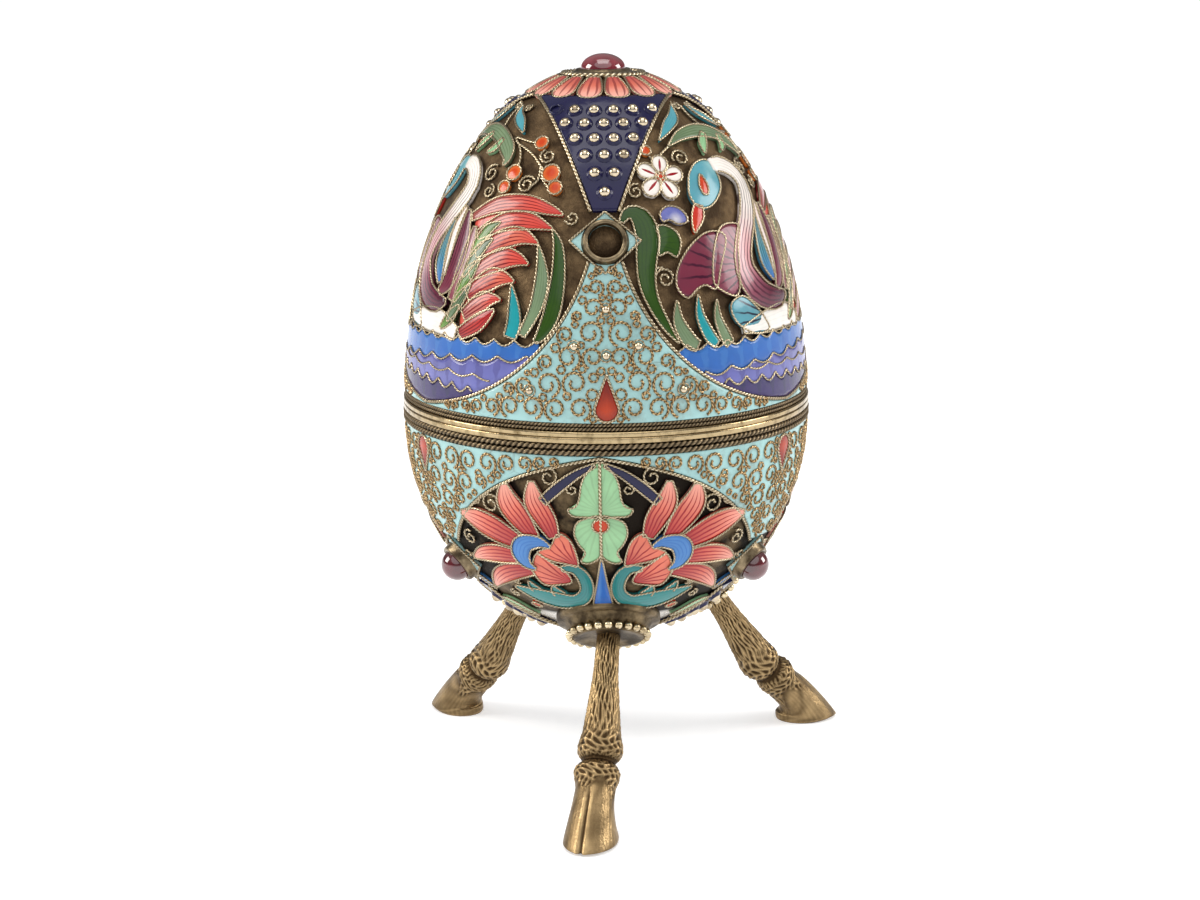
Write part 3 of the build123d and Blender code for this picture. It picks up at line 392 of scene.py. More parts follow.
def connect(tree, bsdf, colour, rough, relief, strength, depth, constants):
    # colour, roughness and fine relief joined to the shader, then its constants
    tree.links.new(colour, bsdf.inputs["Base Color"])
    tree.links.new(rough, bsdf.inputs["Roughness"])
    bump = add(tree, "ShaderNodeBump", None, {"Strength": strength, "Distance": depth, "Height": relief})
    tree.links.new(bump.outputs[0], bsdf.inputs["Normal"])
    for name, value in constants.items():
        bsdf.inputs[name].default_value = value


# sizes of the enamel's noises, per metre, the colours that they mix in, and how strong the strokes are
glass = {"wander": 500.0, "cloud": 330.0, "stain": 240.0, "crack": 210.0, "patch": 90.0, "gloss": 520.0,
         "relief": 420.0, "clouding": (0.02, 0.03, 0.04, 1), "tarnish": (0.16, 0.10, 0.045, 1),
         "crazing": (0.06, 0.05, 0.03, 1), "wanderBy": 0.18, "rootReach": 1.15, "lineGain": 3.5,
         "shadePower": 2.2, "shadeBy": 0.75, "cloudBy": 0.16, "crackWidth": 0.022}


def enamel(name, crackle=0.0, strokes=2.6, stain=0.0):
    # glass over metal: painted strokes across each cell, deeper at its root, faint clouding, fine crazing
    mat, tree, bsdf = fresh(name)
    grain = add(tree, "ShaderNodeSeparateXYZ", None, {0: mark(tree, "grain").outputs["Vector"]})
    along, across, streak = grain.outputs
    wander = calc(tree, "MULTIPLY", spots(tree, glass["wander"], 2.0), glass["wanderBy"])
    wave = calc(tree, "COSINE", calc(tree, "MULTIPLY", calc(tree, "ADD", across, wander), strokes * turn))
    root = calc(tree, "SUBTRACT", 1.0, along)
    widened = calc(tree, "ADD", wave, calc(tree, "MULTIPLY", root, glass["rootReach"]))
    line = calc(tree, "MULTIPLY", calc(tree, "SUBTRACT", widened, 1.0), glass["lineGain"], True)
    shade = calc(tree, "MULTIPLY", calc(tree, "POWER", root, glass["shadePower"]), glass["shadeBy"])
    amount = calc(tree, "MULTIPLY", calc(tree, "MAXIMUM", line, shade), streak, True)
    colour = blend(tree, amount, mark(tree, "tint").outputs["Color"], mark(tree, "deep").outputs["Color"])
    cloud = between(tree, spots(tree, glass["cloud"]), 0.3, 0.7, 0.0, glass["cloudBy"])
    colour = blend(tree, cloud, colour, glass["clouding"])
    if stain:
        patchy = between(tree, spots(tree, glass["stain"], 6.0, 0.7), 0.5, 0.72, 0.0, stain)
        colour = blend(tree, patchy, colour, glass["tarnish"])
    if crackle:
        inputs = {"Vector": place(tree), "Scale": glass["crack"]}
        cell = add(tree, "ShaderNodeTexVoronoi", {"feature": "DISTANCE_TO_EDGE"}, inputs).outputs["Distance"]
        where = between(tree, spots(tree, glass["patch"]), 0.5, 0.62, 0.0, crackle)
        crack = calc(tree, "MULTIPLY", between(tree, cell, 0.0, glass["crackWidth"], 1.0, 0.0), where, True)
        colour = blend(tree, crack, colour, glass["crazing"])
    rough = between(tree, spots(tree, glass["gloss"]), 0.3, 0.7, 0.1, 0.24)
    connect(tree, bsdf, colour, rough, spots(tree, glass["relief"], 2.0), 0.12, 0.0004,
            {"Specular IOR Level": 0.3, "Coat Weight": 0.12, "Coat Roughness": 0.06})
    return mat


# the wear's noise, the range of the raised strands that it follows and its shares with and without them; the strands
# add painted shade in their grooves and painted highlight on their crests to the real patina
patinaAndShade = {"detail": 5.0, "rough": 0.62, "lobe": (0.25, 0.9), "share": 0.45, "rest": 0.55, "relief": 0.0003}
# colour, depth and gloss of the part of a metal that is left bare
bareMetal = {"colour": (0.86, 0.83, 0.78, 1), "fade": 0.0008, "gloss": 0.3}


def metal(name, dark, bright, rubbedAndLit, dull, scale, useLobe=False, grain=2600.0, bump=0.15, darkAt=(0.35, 0.7),
          bare=None):
    # gilding with patina: bright where noise and the raised strands are high, dark where they are low; the dark in the
    # hollows is partly patina and partly painted shade, the bright on the crests partly painted highlight
    mat, tree, bsdf = fresh(name)
    wearAndShade = between(tree, spots(tree, scale, patinaAndShade["detail"], patinaAndShade["rough"]), *darkAt)
    if useLobe:
        # painted shade and highlight: the lobe mark darkens the grooves and hollows and lightens the crests, on top of
        # the patina
        lobe = between(tree, mark(tree, "lobe").outputs["Fac"], *patinaAndShade["lobe"])
        wearAndShade = calc(tree, "ADD", calc(tree, "MULTIPLY", wearAndShade, patinaAndShade["share"]), patinaAndShade["rest"])
        wearAndShade = calc(tree, "MULTIPLY", lobe, wearAndShade, True)
    colour = blend(tree, wearAndShade, (*dark, 1), (*bright, 1))
    rough = between(tree, wearAndShade, 0.0, 1.0, dull, rubbedAndLit)
    if bare:  # below this height the metal is left bare and polished
        level = add(tree, "ShaderNodeSeparateXYZ", None, {0: place(tree)}).outputs["Z"]
        polish = between(tree, level, bare, bare - bareMetal["fade"])
        colour = blend(tree, polish, colour, bareMetal["colour"])
        rough = calc(tree, "MULTIPLY", rough, between(tree, polish, 0.0, 1.0, 1.0, bareMetal["gloss"]))
    connect(tree, bsdf, colour, rough, spots(tree, grain), bump, patinaAndShade["relief"], {"Metallic": 1.0})
    return mat


gems = {"veil": 260.0, "relief": 900.0, "edge": 0.35, "sheenBy": 0.25}  # sizes of the noises, a painted sheen at the rim


def jewel(name, dark, glow):
    # a domed stone: deep colour with cloudy veils, lighter at the rim by a painted sheen that follows the view,
    # polished
    mat, tree, bsdf = fresh(name)
    veil = between(tree, spots(tree, gems["veil"], 4.0), 0.35, 0.7)
    # painted sheen: the colour is lightened where the surface turns away from the view
    rim = add(tree, "ShaderNodeLayerWeight", None, {"Blend": gems["edge"]}).outputs["Facing"]
    colour = blend(tree, veil, (*dark, 1), (*glow, 1))
    colour = blend(tree, calc(tree, "MULTIPLY", rim, gems["sheenBy"]), colour, (*glow, 1))
    rough = between(tree, veil, 0.0, 1.0, 0.04, 0.1)
    connect(tree, bsdf, colour, rough, spots(tree, gems["relief"], 2.0), 0.04, 0.0003,
            {"Coat Weight": 1.0, "Coat Roughness": 0.03, "IOR": 1.7})
    return mat


cellEnamel = enamel("cell enamel")
fieldEnamel = enamel("field enamel", crackle=0.5, stain=0.55)
navyEnamel = enamel("navy enamel")
petalEnamel = enamel("petal enamel", strokes=1.5)
# each metal: dark and bright colour, roughness where rubbed and where dull, size of the wear; on wires, ropes and legs
# the dark also stands for painted shade in the hollows and the bright for painted highlight on the crests
groundMetal = metal("oxidised ground", (0.055, 0.035, 0.02), (0.185, 0.122, 0.064), 0.46, 0.62, 260.0,
                    grain=3800.0, bump=0.5, darkAt=(0.4, 0.72))
bowlMetal = metal("blackened ground", (0.018, 0.014, 0.011), (0.20, 0.14, 0.075), 0.42, 0.58, 120.0,
                  grain=3800.0, bump=0.4, darkAt=(0.5, 0.68), bare=0.0288)
giltWire = metal("twisted gilt wire", (0.17, 0.115, 0.055), (1.0, 0.88, 0.64), 0.18, 0.4, 500.0, True)
filigreeWire = metal("filigree wire", (0.08, 0.042, 0.014), (0.97, 0.68, 0.35), 0.22, 0.46, 420.0, True)
ropeMetal = metal("oxidised rope", (0.045, 0.033, 0.02), (0.40, 0.30, 0.18), 0.3, 0.5, 500.0, True)
rimGilt = metal("polished gilt", (0.17, 0.12, 0.055), (0.45, 0.345, 0.195), 0.12, 0.3, 700.0,
                bump=0.1, darkAt=(0.28, 0.52))
shotGilt = metal("polished shot", (0.24, 0.18, 0.115), (0.62, 0.52, 0.37), 0.1, 0.2, 340.0,
                 bump=0.05, darkAt=(0.3, 0.5))
beadGilt = metal("beaded gilt", (0.30, 0.22, 0.12), (0.74, 0.62, 0.41), 0.2, 0.32, 340.0,
                 bump=0.08, darkAt=(0.3, 0.6))
cupMetal = metal("aged collet", (0.07, 0.05, 0.03), (0.36, 0.28, 0.17), 0.24, 0.42, 420.0, darkAt=(0.4, 0.7))
liningGilt = metal("gilt lining", (0.42, 0.29, 0.12), (0.74, 0.56, 0.28), 0.24, 0.4, 220.0)
legBronze = metal("antique gilt bronze", (0.055, 0.033, 0.015), (0.50, 0.35, 0.175), 0.3, 0.5, 380.0, True,
                  grain=2400.0, bump=0.35)
collarMetal = metal("dark collar", (0.05, 0.035, 0.02), (0.30, 0.22, 0.12), 0.28, 0.5, 300.0,
                    bump=0.2, darkAt=(0.4, 0.75))
garnetStone = jewel("garnet", (0.045, 0.003, 0.006), (0.14, 0.01, 0.016))
crownStone = jewel("crimson cabochon", (0.11, 0.006, 0.013), (0.27, 0.02, 0.035))
print("materials ready")

shells = {"segments": 240, "steps": 90, "pin": 0.004}


def shellLoop(side):
    # outer quarter ellipse from the edge ring to the pole, then the inner one back; the bowl's has an upright band
    low = max(side["ring"] - side["band"], 0)
    quarters = []
    for sink in (bedDepth, bedDepth + egg["wall"]):
        r, h = eggR - sink, side["height"] - sink
        t = np.linspace(np.arcsin(low / h), np.pi / 2, shells["steps"])
        rows = np.c_[np.maximum(r * np.cos(t), shells["pin"]), side["centre"] + side["way"] * h * np.sin(t)]
        quarters.append(np.vstack([[r, seamZ - side["ring"]], rows]) if side["band"] else rows)
    return quarters[0], quarters[1][::-1]


for side, finish in ((lid, groundMetal), (bowl, bowlMetal)):
    name = side["name"]
    out, back = shellLoop(side)
    part = spun(np.vstack([out, back]), shells["segments"], True)
    obj = makePiece(name + "_metal", name, finish, [part], [name + "_shell"])
    obj.data.materials.append(liningGilt)
    rows = np.arange(len(obj.data.polygons)) // shells["segments"]
    obj.data.polygons.foreach_set("material_index", (rows >= len(out) - 1).astype(np.int32))

seamRings = {"proud": 0.35, "round": 0.25, "segments": 240}


def rimLoop(low, high):
    # a flat ring with rounded outer corners
    outer, r = eggR + seamRings["proud"], seamRings["round"]
    a = np.linspace(0, np.pi / 2, 6)
    upper = np.c_[outer - r + r * np.cos(a), high - r + r * np.sin(a)]
    lower = np.c_[outer - r + r * np.cos(a), low + r - r * np.sin(a)][::-1]
    return np.vstack([[innerR, low], lower, upper, [innerR, high]])


for side in halves:
    name = side["name"]
    ends = sorted((seamZ, seamZ + side["way"] * side["ring"]))
    part = spun(rimLoop(*ends), seamRings["segments"], True)
    makePiece(name + "_edge_ring", name, rimGilt, [part], [name + "_rim"])

flange = {"outer": innerR - 0.35, "inner": innerR - 1.15, "top": seamZ + 3.0, "ease": 0.3, "segments": 200}
flangeLoop = [(flange["inner"], bowl["centre"]), (innerR, bowl["centre"]), (innerR, seamZ - 0.05),
              (flange["outer"], seamZ + 0.1), (flange["outer"], flange["top"] - flange["ease"]),
              (flange["outer"] - flange["ease"], flange["top"]), (flange["inner"], flange["top"])]
makePiece("lid_seat_flange", "bowl", liningGilt, [spun(flangeLoop, flange["segments"], True)],
          ["bowl_flange"], True)

# gauge of each half's ropes; how full and how long a twist is, as shares of the gauge
ropes = {"lid": 0.6, "bowl": 0.9, "full": 1.08, "pitch": 0.95, "steps": 360, "sides": 10}


def ropeRing(radius, z, gauge, hand):
    # a twisted rope laid in a level ring
    a = np.linspace(0, turn, ropes["steps"], endpoint=False) * hand
    n = np.stack([np.sin(a), -np.cos(a), np.zeros(a.shape)], -1)
    return twisted(radius * n + [0, 0, z], n, gauge * ropes["full"], gauge * ropes["pitch"], True, ropes["sides"])


for side in halves:
    name, gauge = side["name"], ropes[side["name"]]
    start, radius = seamZ + side["way"] * side["ring"], eggR - bedDepth + gauge / 2
    rings = [ropeRing(radius, start + side["way"] * gauge * (k + 0.5), gauge, 1 - 2 * k) for k in range(2)]
    makePiece(name + "_ropes", name, ropeMetal, rings, [name + "_rope_bands"])
print("shells and seam ready")

# turquoise fields: azimuth and rise of tip and waist in degrees; azimuth and height in mm of the foot
fields = {
    "lid": {"tip": (4.5, 29.3), "waist": (17.7, 14.2), "foot": (60.0, 2.0)},
    "bowl": {"tip": (6.0, 28.0), "waist": (18.0, 16.2), "foot": (60.0, 0.0)},
    "gauge": 0.66, "pitch": 0.62, "sink": -0.1, "steps": 70, "cols": 41,
}


def hollowEdge(side):
    # the field's hollow side: a circle through three places as seen from the front, laid back on the egg
    field = fields[side["name"]]

    def seen(a, t):  # a place on the ellipse as the front view shows it
        return np.array([eggR * np.cos(t) * np.sin(a), side["height"] * np.sin(t)])
    p = seen(*np.radians(field["tip"]))
    q = seen(*np.radians(field["waist"]))
    s = np.array([eggR * np.sin(np.radians(field["foot"][0])), field["foot"][1]])
    u, v = q - p, s - p
    w = 2 * (u[0] * v[1] - u[1] * v[0])
    mid = p + np.array([v[1] * (u @ u) - u[1] * (v @ v), u[0] * (v @ v) - v[0] * (u @ u)]) / w
    first, last = (np.arctan2(*(end - mid)[::-1]) % turn for end in (s, p))
    a, r = np.linspace(first, last, fields["steps"]), np.hypot(*(p - mid))
    t = np.arcsin(np.clip((mid[1] + r * np.sin(a)) / side["height"], 0, 1))
    aside = np.arcsin(np.clip((mid[0] + r * np.cos(a)) / (eggR * np.cos(t)), -1, 1))
    return np.stack([eggR * aside, flankY(side, t)], -1)


def offsetPath(path, distance):
    # a path moved sideways by a distance on the map
    t = unit(np.gradient(path, axis=0))
    return path + distance * np.stack([t[:, 1], -t[:, 0]], -1)


def fieldBed(side, edge, tint):
    # rows at one height, each as wide as the field there, over the top and back along the foot
    v = np.linspace(-1, 1, fields["cols"])
    h = np.repeat([0.0, cellWork["foot"]], fields["cols"])
    x = edge[:, :1] * np.r_[v, v[::-1]][None, :]
    y = np.broadcast_to(edge[:, 1:], x.shape)
    return solid(onEgg(side, x, y, h), tint=linear(tint), deep=linear(tint), grain=np.zeros(3))


for side in halves:
    side["edge"] = hollowEdge(side)
    bed = fieldBed(side, side["edge"], "turquoise")
    dress(side, "turquoise", fieldEnamel, [bed], "turquoise_fields")
for side in halves:
    out = offsetPath(side["edge"], side["way"] * fields["gauge"] / 2)
    wires = [wireOn(side, p, fields["gauge"], fields["pitch"], False, fields["sink"]) for p in (out, mirrored(out))]
    dress(side, "field_ropes", giltWire, wires, "field_borders")

# each drop: height of its round end on the map, length; the wire runs a little outside
drops = {"lid": (3.85, 6.2), "bowl": (-4.55, 5.0), "radius": 1.5, "gauge": 0.5, "pitch": 0.55, "level": 0.15,
         "longer": 0.5, "wider": 0.2, "tip": (0.1, 0.35), "steps": 30}


def dropOutline(side, longer=0.0, wider=0.0):
    # a round end and two flanks that close in a tip
    y, length = drops[side["name"]]
    radius = drops["radius"] + wider
    run = length + longer - radius
    lean = np.arcsin(radius / run)
    a = np.linspace(lean, -np.pi - lean, drops["steps"])
    arc = np.stack([radius * np.cos(a), radius * np.sin(a)], -1)
    blunt, back = drops["tip"]
    tip = np.array([[-blunt, run - back], [0.0, run], [blunt, run - back]])
    return np.vstack([arc, tip]) * [1, side["way"]] + [0, y]


for side in halves:
    focus = (0, drops[side["name"]][0])
    part, edge = patch(side, dropOutline(side), ("orange", "rust", "rust"), "rust", 0.0, focus, drops["level"], False)
    dress(side, "coral_drops", cellEnamel, [part], "teardrops")
    path = dropOutline(side, drops["longer"], drops["wider"])
    ring = wireOn(side, path, drops["gauge"], drops["pitch"], True, drops["level"])
    dress(side, "drop_wires", giltWire, [ring], "teardrop_wires")

# filigree: place and radius of each scroll and each ring in one half of a field; the other half is its
# mirror. The gaps are filled with rings between two radii
filigree = {
    "gauge": 0.52, "pitch": 0.6, "ringGauge": 0.44, "fill": (0.3, 0.8), "gap": 0.22, "most": 90,
    "step": 0.2, "lift": 0.06,
    "start": 160, "turns": 1.3, "inner": 0.3, "span": (0.4, 27), "beside": 0.5, "beyond": 0.75,
    "lid": {
        "scrolls": ((3.75, 4, 1.7), (7.2, 3.9, 1.65), (10.6, 4, 1.7), (14, 3.9, 1.6), (17, 3.6, 1.3),
            (19.6, 3.4, 1.1), (21.8, 3.2, 0.9), (23.8, 3, 0.75), (25.6, 2.85, 0.6), (4.4, 7.6, 1.9),
            (8.3, 7.3, 1.9), (11.8, 6.9, 1.4), (14.3, 6.4, 0.95), (1.9, 11.2, 1.6), (5.4, 11.2, 1.9),
            (8.7, 10.4, 1.2), (2.3, 14.7, 2), (5.9, 14.4, 1.3), (1.9, 18.3, 1.65), (4.2, 17.1, 0.8),
            (1.5, 21.4, 1.3), (0.95, 24, 0.8)),
        "rings": ((5.5, 5.75, 0.5), (9, 5.45, 0.5), (12.4, 5.2, 0.5), (15.7, 5.1, 0.45), (6.4, 9.45, 0.55),
            (3.4, 9.6, 0.5), (10.3, 8.9, 0.55), (3.6, 12.95, 0.45), (7.3, 12.5, 0.6), (4.5, 15.95, 0.45),
            (0.75, 9.3, 0.5), (0.7, 16.5, 0.5), (3.5, 19.5, 0.55), (2.95, 21.2, 0.45), (0.5, 19.9, 0.4),
            (1.9, 2.6, 0.45), (18.4, 4.7, 0.4)),
    },
    "bowl": {
        "scrolls": ((3.8, -4.7, 1.75), (7.4, -4.7, 1.75), (11, -4.7, 1.7), (14.5, -4.6, 1.65),
            (17.8, -4.4, 1.45), (20.6, -4.1, 1.15), (22.9, -3.9, 0.95), (24.9, -3.7, 0.75), (2.9, -8.3, 1.6),
            (6.4, -8.3, 1.75), (10, -8.1, 1.7), (13, -7.5, 1.1), (1.8, -11.6, 1.6), (5.2, -11.6, 1.7),
            (8.3, -11, 1.2), (1.7, -14.9, 1.6), (4.9, -14.4, 1.3), (1.5, -18, 1.3)),
        "rings": ((5.6, -6.5, 0.5), (9.2, -6.5, 0.5), (12.8, -6.4, 0.5), (16.2, -6.2, 0.45), (4.6, -10, 0.5),
            (8.2, -9.9, 0.5), (11.6, -9.5, 0.4), (3.4, -13.2, 0.5), (6.8, -12.9, 0.45), (3.3, -16.3, 0.5),
            (1.9, -3.4, 0.4), (0.7, -9.9, 0.5)),
    },
}


def fieldScroll(k, x, y, radius):
    # neighbours curl opposite ways, from their upper or lower side inwards
    hand = 1 if k % 2 else -1
    return scroll(x, y, radius, 90 - filigree["start"] * hand, filigree["turns"] * hand, filigree["inner"])


def fillRings(taken, edge, drop):
    # the gaps left in half a field, filled one by one, each by the largest ring that still fits
    gap, step = filigree["gap"], filigree["step"]
    low, high = edge[:, 1].min(), edge[:, 1].max()
    columns = np.arange(*filigree["span"], step)
    spot = np.stack(np.meshgrid(columns, np.arange(low, high, step)), -1).reshape(-1, 2)
    order = np.argsort(edge[:, 1])
    spot = spot[spot[:, 0] < np.interp(spot[:, 1], edge[order, 1], edge[order, 0])]
    beside = spot[:, 0] > drop[:, 0].max() + filigree["beside"]
    beyond = np.abs(spot[:, 1] - drop[:, 1].mean()) > np.ptp(drop[:, 1]) * filigree["beyond"]
    spot = spot[beside | beyond]
    room = np.linalg.norm(spot[:, None] - np.vstack([edge, drop])[None], axis=-1).min(1) - 2 * gap
    ends = np.minimum(spot[:, 1] - low, high - spot[:, 1]) - gap
    room = np.minimum(room, np.minimum(spot[:, 0] - 0.1, ends))
    rings = []
    queue = list(taken)
    while len(rings) < filigree["most"]:
        for x, y, r in queue:
            room = np.minimum(room, np.hypot(spot[:, 0] - x, spot[:, 1] - y) - r - gap)
        k = int(np.argmax(room))
        if room[k] < filigree["fill"][0]:
            break
        queue = [(*spot[k], min(room[k], filigree["fill"][1]))]
        rings += queue
    return rings


# granules of the lid's fields: azimuth and rise in degrees
granules = {"places": ((0.0, 21.1), (0.0, 13.4), (8.8, 14.9), (-8.8, 14.9), (21.0, 7.4), (-21.0, 7.4)),
            "radius": 0.6, "height": 0.55, "room": 1.15, "ring": 0.85, "gauge": 0.3, "pitch": 0.6}


def mapPlaces(side, places):
    # azimuth and rise in degrees as places on the map
    return [(np.radians(a) * eggR, flankY(side, np.radians(t))) for a, t in places]


for side in halves:
    work = filigree[side["name"]]
    grains = mapPlaces(lid, granules["places"]) if side is lid else []
    grains = [(x, y, granules["room"]) for x, y in grains if x >= 0]  # those in the half that is drawn
    fillers = fillRings([*work["scrolls"], *work["rings"], *grains], side["edge"], dropOutline(side))
    print(side["name"], "filling rings", len(fillers))
    paths = [fieldScroll(k, *row) for k, row in enumerate(work["scrolls"])]
    loops = [ringPath(*row) for row in (*work["rings"], *fillers)]
    wires = []
    for way in (1, -1):
        for group, gauge, closed in ((paths, filigree["gauge"], False), (loops, filigree["ringGauge"], True)):
            wires += [wireOn(side, p * [way, 1], gauge, filigree["pitch"], closed, filigree["lift"]) for p in group]
    for letter, a in zip("abc", side["fields"]):
        name = side["name"] + "_filigree_" + letter
        makePiece(name, side["name"], filigreeWire, spread(wires, (a,)))
print("turquoise fields ready")

# navy fields: tip and corner, azimuth and rise in degrees
navy = {"lid": ((4.0, 38.8), (57.0, 68.25)), "bowl": ((4.0, 45.5), (27.0, 68.0)), "gauge": 0.66, "pitch": 0.7,
        "aside": 0.33 / 0.7, "sink": -0.05, "steps": 40}


def fanEdge(side):
    # a straight side seen square on, laid back on the egg: a chord pushed out to the surface
    tip, corner = navy[side["name"]]
    reach = np.array([eggR, eggR, side["height"]])

    def spot(a, t):  # a place in space, from the ellipse's middle
        a, t = np.radians(a), np.radians(t)
        return reach * [np.cos(t) * np.sin(a), -np.cos(t) * np.cos(a), side["way"] * np.sin(t)]
    middle = np.radians((tip[1] + corner[1]) / 2)
    push = unit(np.array([0, -np.cos(middle), side["way"] * np.sin(middle)]) / reach)
    p = spot(*tip) + np.linspace(0, 1, navy["steps"])[:, None] * (spot(*corner) - spot(*tip))
    a, b, c = ((push / reach) ** 2).sum(), (p * push / reach ** 2).sum(1), ((p / reach) ** 2).sum(1) - 1
    p = p + ((-b + np.sqrt(np.maximum(b * b - a * c, 0))) / a)[:, None] * push
    t = np.arcsin(np.clip(np.abs(p[:, 2]) / side["height"], 0, 1))
    return np.stack([eggR * np.arctan2(p[:, 0], -p[:, 1]), flankY(side, t)], -1)


for side in halves:
    side["fan"] = fanEdge(side)
    dress(side, "navy", navyEnamel, [fieldBed(side, side["fan"], "navy")], "navy_fields")
for side in halves:
    out = offsetPath(side["fan"], side["way"] * navy["aside"])
    wires = [wireOn(side, p, navy["gauge"], navy["pitch"], False, navy["sink"]) for p in (out, mirrored(out))]
    dress(side, "navy_ropes", giltWire, wires, "navy_borders")

# shots: grains in each row, and the rise of the first and last row in degrees
shots = {"lid": ((6, 5, 4, 3, 2, 1), (63.0, 42.5)), "bowl": ((1, 2, 3), (51.5, 64.5)),
         "radius": 0.86, "height": 0.92, "pitch": 2.7, "foot": -0.3, "segments": 10,
         # the enamel climbs up each grain: radius and height of a ring that rises inwards
         "swell": ((1.2, -0.2), (1.2, 0.0), (1.06, 0.08), (0.95, 0.22), (0.86, 0.36), (0.8, 0.38), (0.7, 0.2),
                   (0.7, -0.2))}


def domeProfile(radius, foot, height, base=0.0, steps=7):
    # from the axis under the dome, out to its edge and over the top: a quarter ellipse on a base
    a = np.linspace(0, np.pi / 2, steps)
    return np.vstack([[0, foot], [radius, foot], np.c_[radius * np.cos(a), base + height * np.sin(a)]])


def rowPlaces(rows, ends):
    # rows of places at an even pitch, in degrees of azimuth and height
    places = []
    for count, angle in zip(rows, np.linspace(*ends, len(rows))):
        girth = eggR * np.cos(np.radians(angle))
        offset = shots["pitch"] * (np.arange(count) - (count - 1) / 2)
        places += [(a, angle) for a in np.degrees(np.arcsin(offset / girth))]
    return places


def placed(side, base, places):
    # one part set down at each of some places, in degrees
    return [settled(base, *seat(side, x, y, 0.0)) for x, y in mapPlaces(side, places)]


shotPart = spun(domeProfile(shots["radius"], shots["foot"], shots["height"], steps=5), shots["segments"])
grainPart = spun(domeProfile(granules["radius"], shots["foot"], granules["height"], steps=4), shots["segments"])
lidShots = placed(lid, shotPart, rowPlaces(*shots["lid"]))
# the first grain of the front field's top row has come off
allShots = lidShots[1:] + spread(lidShots, lid["fields"][1:])
makePiece("lid_shot", "lid", shotGilt, allShots, ["lid_shots"])
dress(lid, "grains", shotGilt, placed(lid, grainPart, granules["places"]), "granules")
dress(bowl, "shot", shotGilt, placed(bowl, shotPart, rowPlaces(*shots["bowl"])), "shots")

grainRings = []
for x, y in mapPlaces(lid, granules["places"]):
    origin, axes = seat(lid, x, y, 0.05)
    a = np.linspace(0, turn, 24, endpoint=False)[:, None]
    path = origin + granules["ring"] * (np.cos(a) * axes[0] + np.sin(a) * axes[1])
    grainRings.append(twisted(path, np.repeat(axes[2:], 24, 0), granules["gauge"], granules["pitch"], True))
dress(lid, "grain_rings", giltWire, grainRings)
swellPart = spun(shots["swell"], 14, True, tint=linear("navy"), deep=linear("navy"), grain=np.zeros(3))
for side in halves:
    swells = placed(side, swellPart, rowPlaces(*shots[side["name"]]))
    dress(side, "shot_swells", navyEnamel, swells)
print("navy fields ready")

# stone settings: rise in degrees; half-axes of the lozenge; the collet's radius, bore, height and depth
stones = {"lid": 33.0, "bowl": 36.2, "half": (5.0, 4.4), "radius": 3.1, "bore": 2.4, "height": 1.7, "depth": 1.2,
          "dome": 2.3, "gauge": 0.45, "pitch": 0.5}


def platePart(side, y):
    # a lozenge laid on the egg: its reach is one over the sum of cosine and sine over the half-axes
    a = np.linspace(0, turn, 80, endpoint=False) + 0.01
    reach = 1 / (np.abs(np.cos(a)) / stones["half"][0] + np.abs(np.sin(a)) / stones["half"][1])
    scale = np.linalg.norm(onEgg(side, 0.5, y, 0) - onEgg(side, -0.5, y, 0))
    outline = np.stack([reach * np.cos(a) / scale, y + reach * np.sin(a) / scale], -1)
    return patch(side, outline, "turquoise", "turquoise", 0.0, None, 0.05, False)


def colletProfile():
    # a foot, an outer wall that leans in a little, a rounded lip and the bore down to its floor
    r, b, h, f = stones["radius"], stones["bore"], stones["height"], stones["height"] - stones["depth"]
    wall = [(0, -0.6), (r + 0.25, -0.6), (r + 0.25, 0.35), (r, 0.6), (r - 0.05, h - 0.25), (r - 0.2, h)]
    return wall + [(b + 0.12, h), (b, h - 0.15), (b, f + 0.1), (b - 0.1, f), (0, f)]


cement = [(0, 0.02), (2.3, 0.02), (2.25, 0.12), (0, 0.16)]  # left on the floor of the empty collet
gem = spun(domeProfile(stones["bore"] - 0.05, 0.0, stones["dome"], stones["depth"], 14), 48)
for side in halves:
    y = flankY(side, np.radians(stones[side["name"]]))
    part, edge = platePart(side, y)
    dress(side, "lozenges", fieldEnamel, [part], "setting_plates")
    wire = wireOn(side, edge, stones["gauge"], stones["pitch"], True, 0.1)
    dress(side, "lozenge_wires", giltWire, [wire])
    origin, axes = seat(side, 0, y, -bedDepth)
    cup = settled(spun(colletProfile(), 64), origin, axes)
    bottom = origin + (stones["height"] - stones["depth"]) * axes[2]
    stone = settled(gem, bottom, axes)
    if side is lid:  # the front collet is empty
        makePiece("front_cup", "lid", cupMetal, [cup], ["front_collet"])
        makePiece("lid_cups", "lid", cupMetal, spread([cup], lid["fields"][1:]), ["lid_collets"])
        makePiece("lid_stones", "lid", garnetStone, spread([stone], lid["fields"][1:]), ["lid_garnets"])
        makePiece("front_cup_cement", "lid", groundMetal, [settled(spun(cement, 40), bottom, axes)])
    else:
        dress(side, "cups", cupMetal, [cup], "collets")
        dress(side, "stones", garnetStone, [stone], "garnets")
print("settings ready")

# crown: girth of a petal from foot to root and its share of the full half-width; girth of the rope
crown = {"count": 16, "gap": 0.35, "girth": (11.45, 11.25, 10.7, 9.9, 9.0, 7.9, 6.65),
         "share": (0.22, 0.58, 0.89, 1, 1, 0.94, 0.78), "tints": ("coral", "salmon", "blush", "blush"),
         "gauge": 0.34, "pitch": 0.5, "ring": 5.8, "rope": 0.9, "bezel": 4.7,
         "stone": {"radius": 3.3, "dome": 2.2, "girdle": 0.9}}


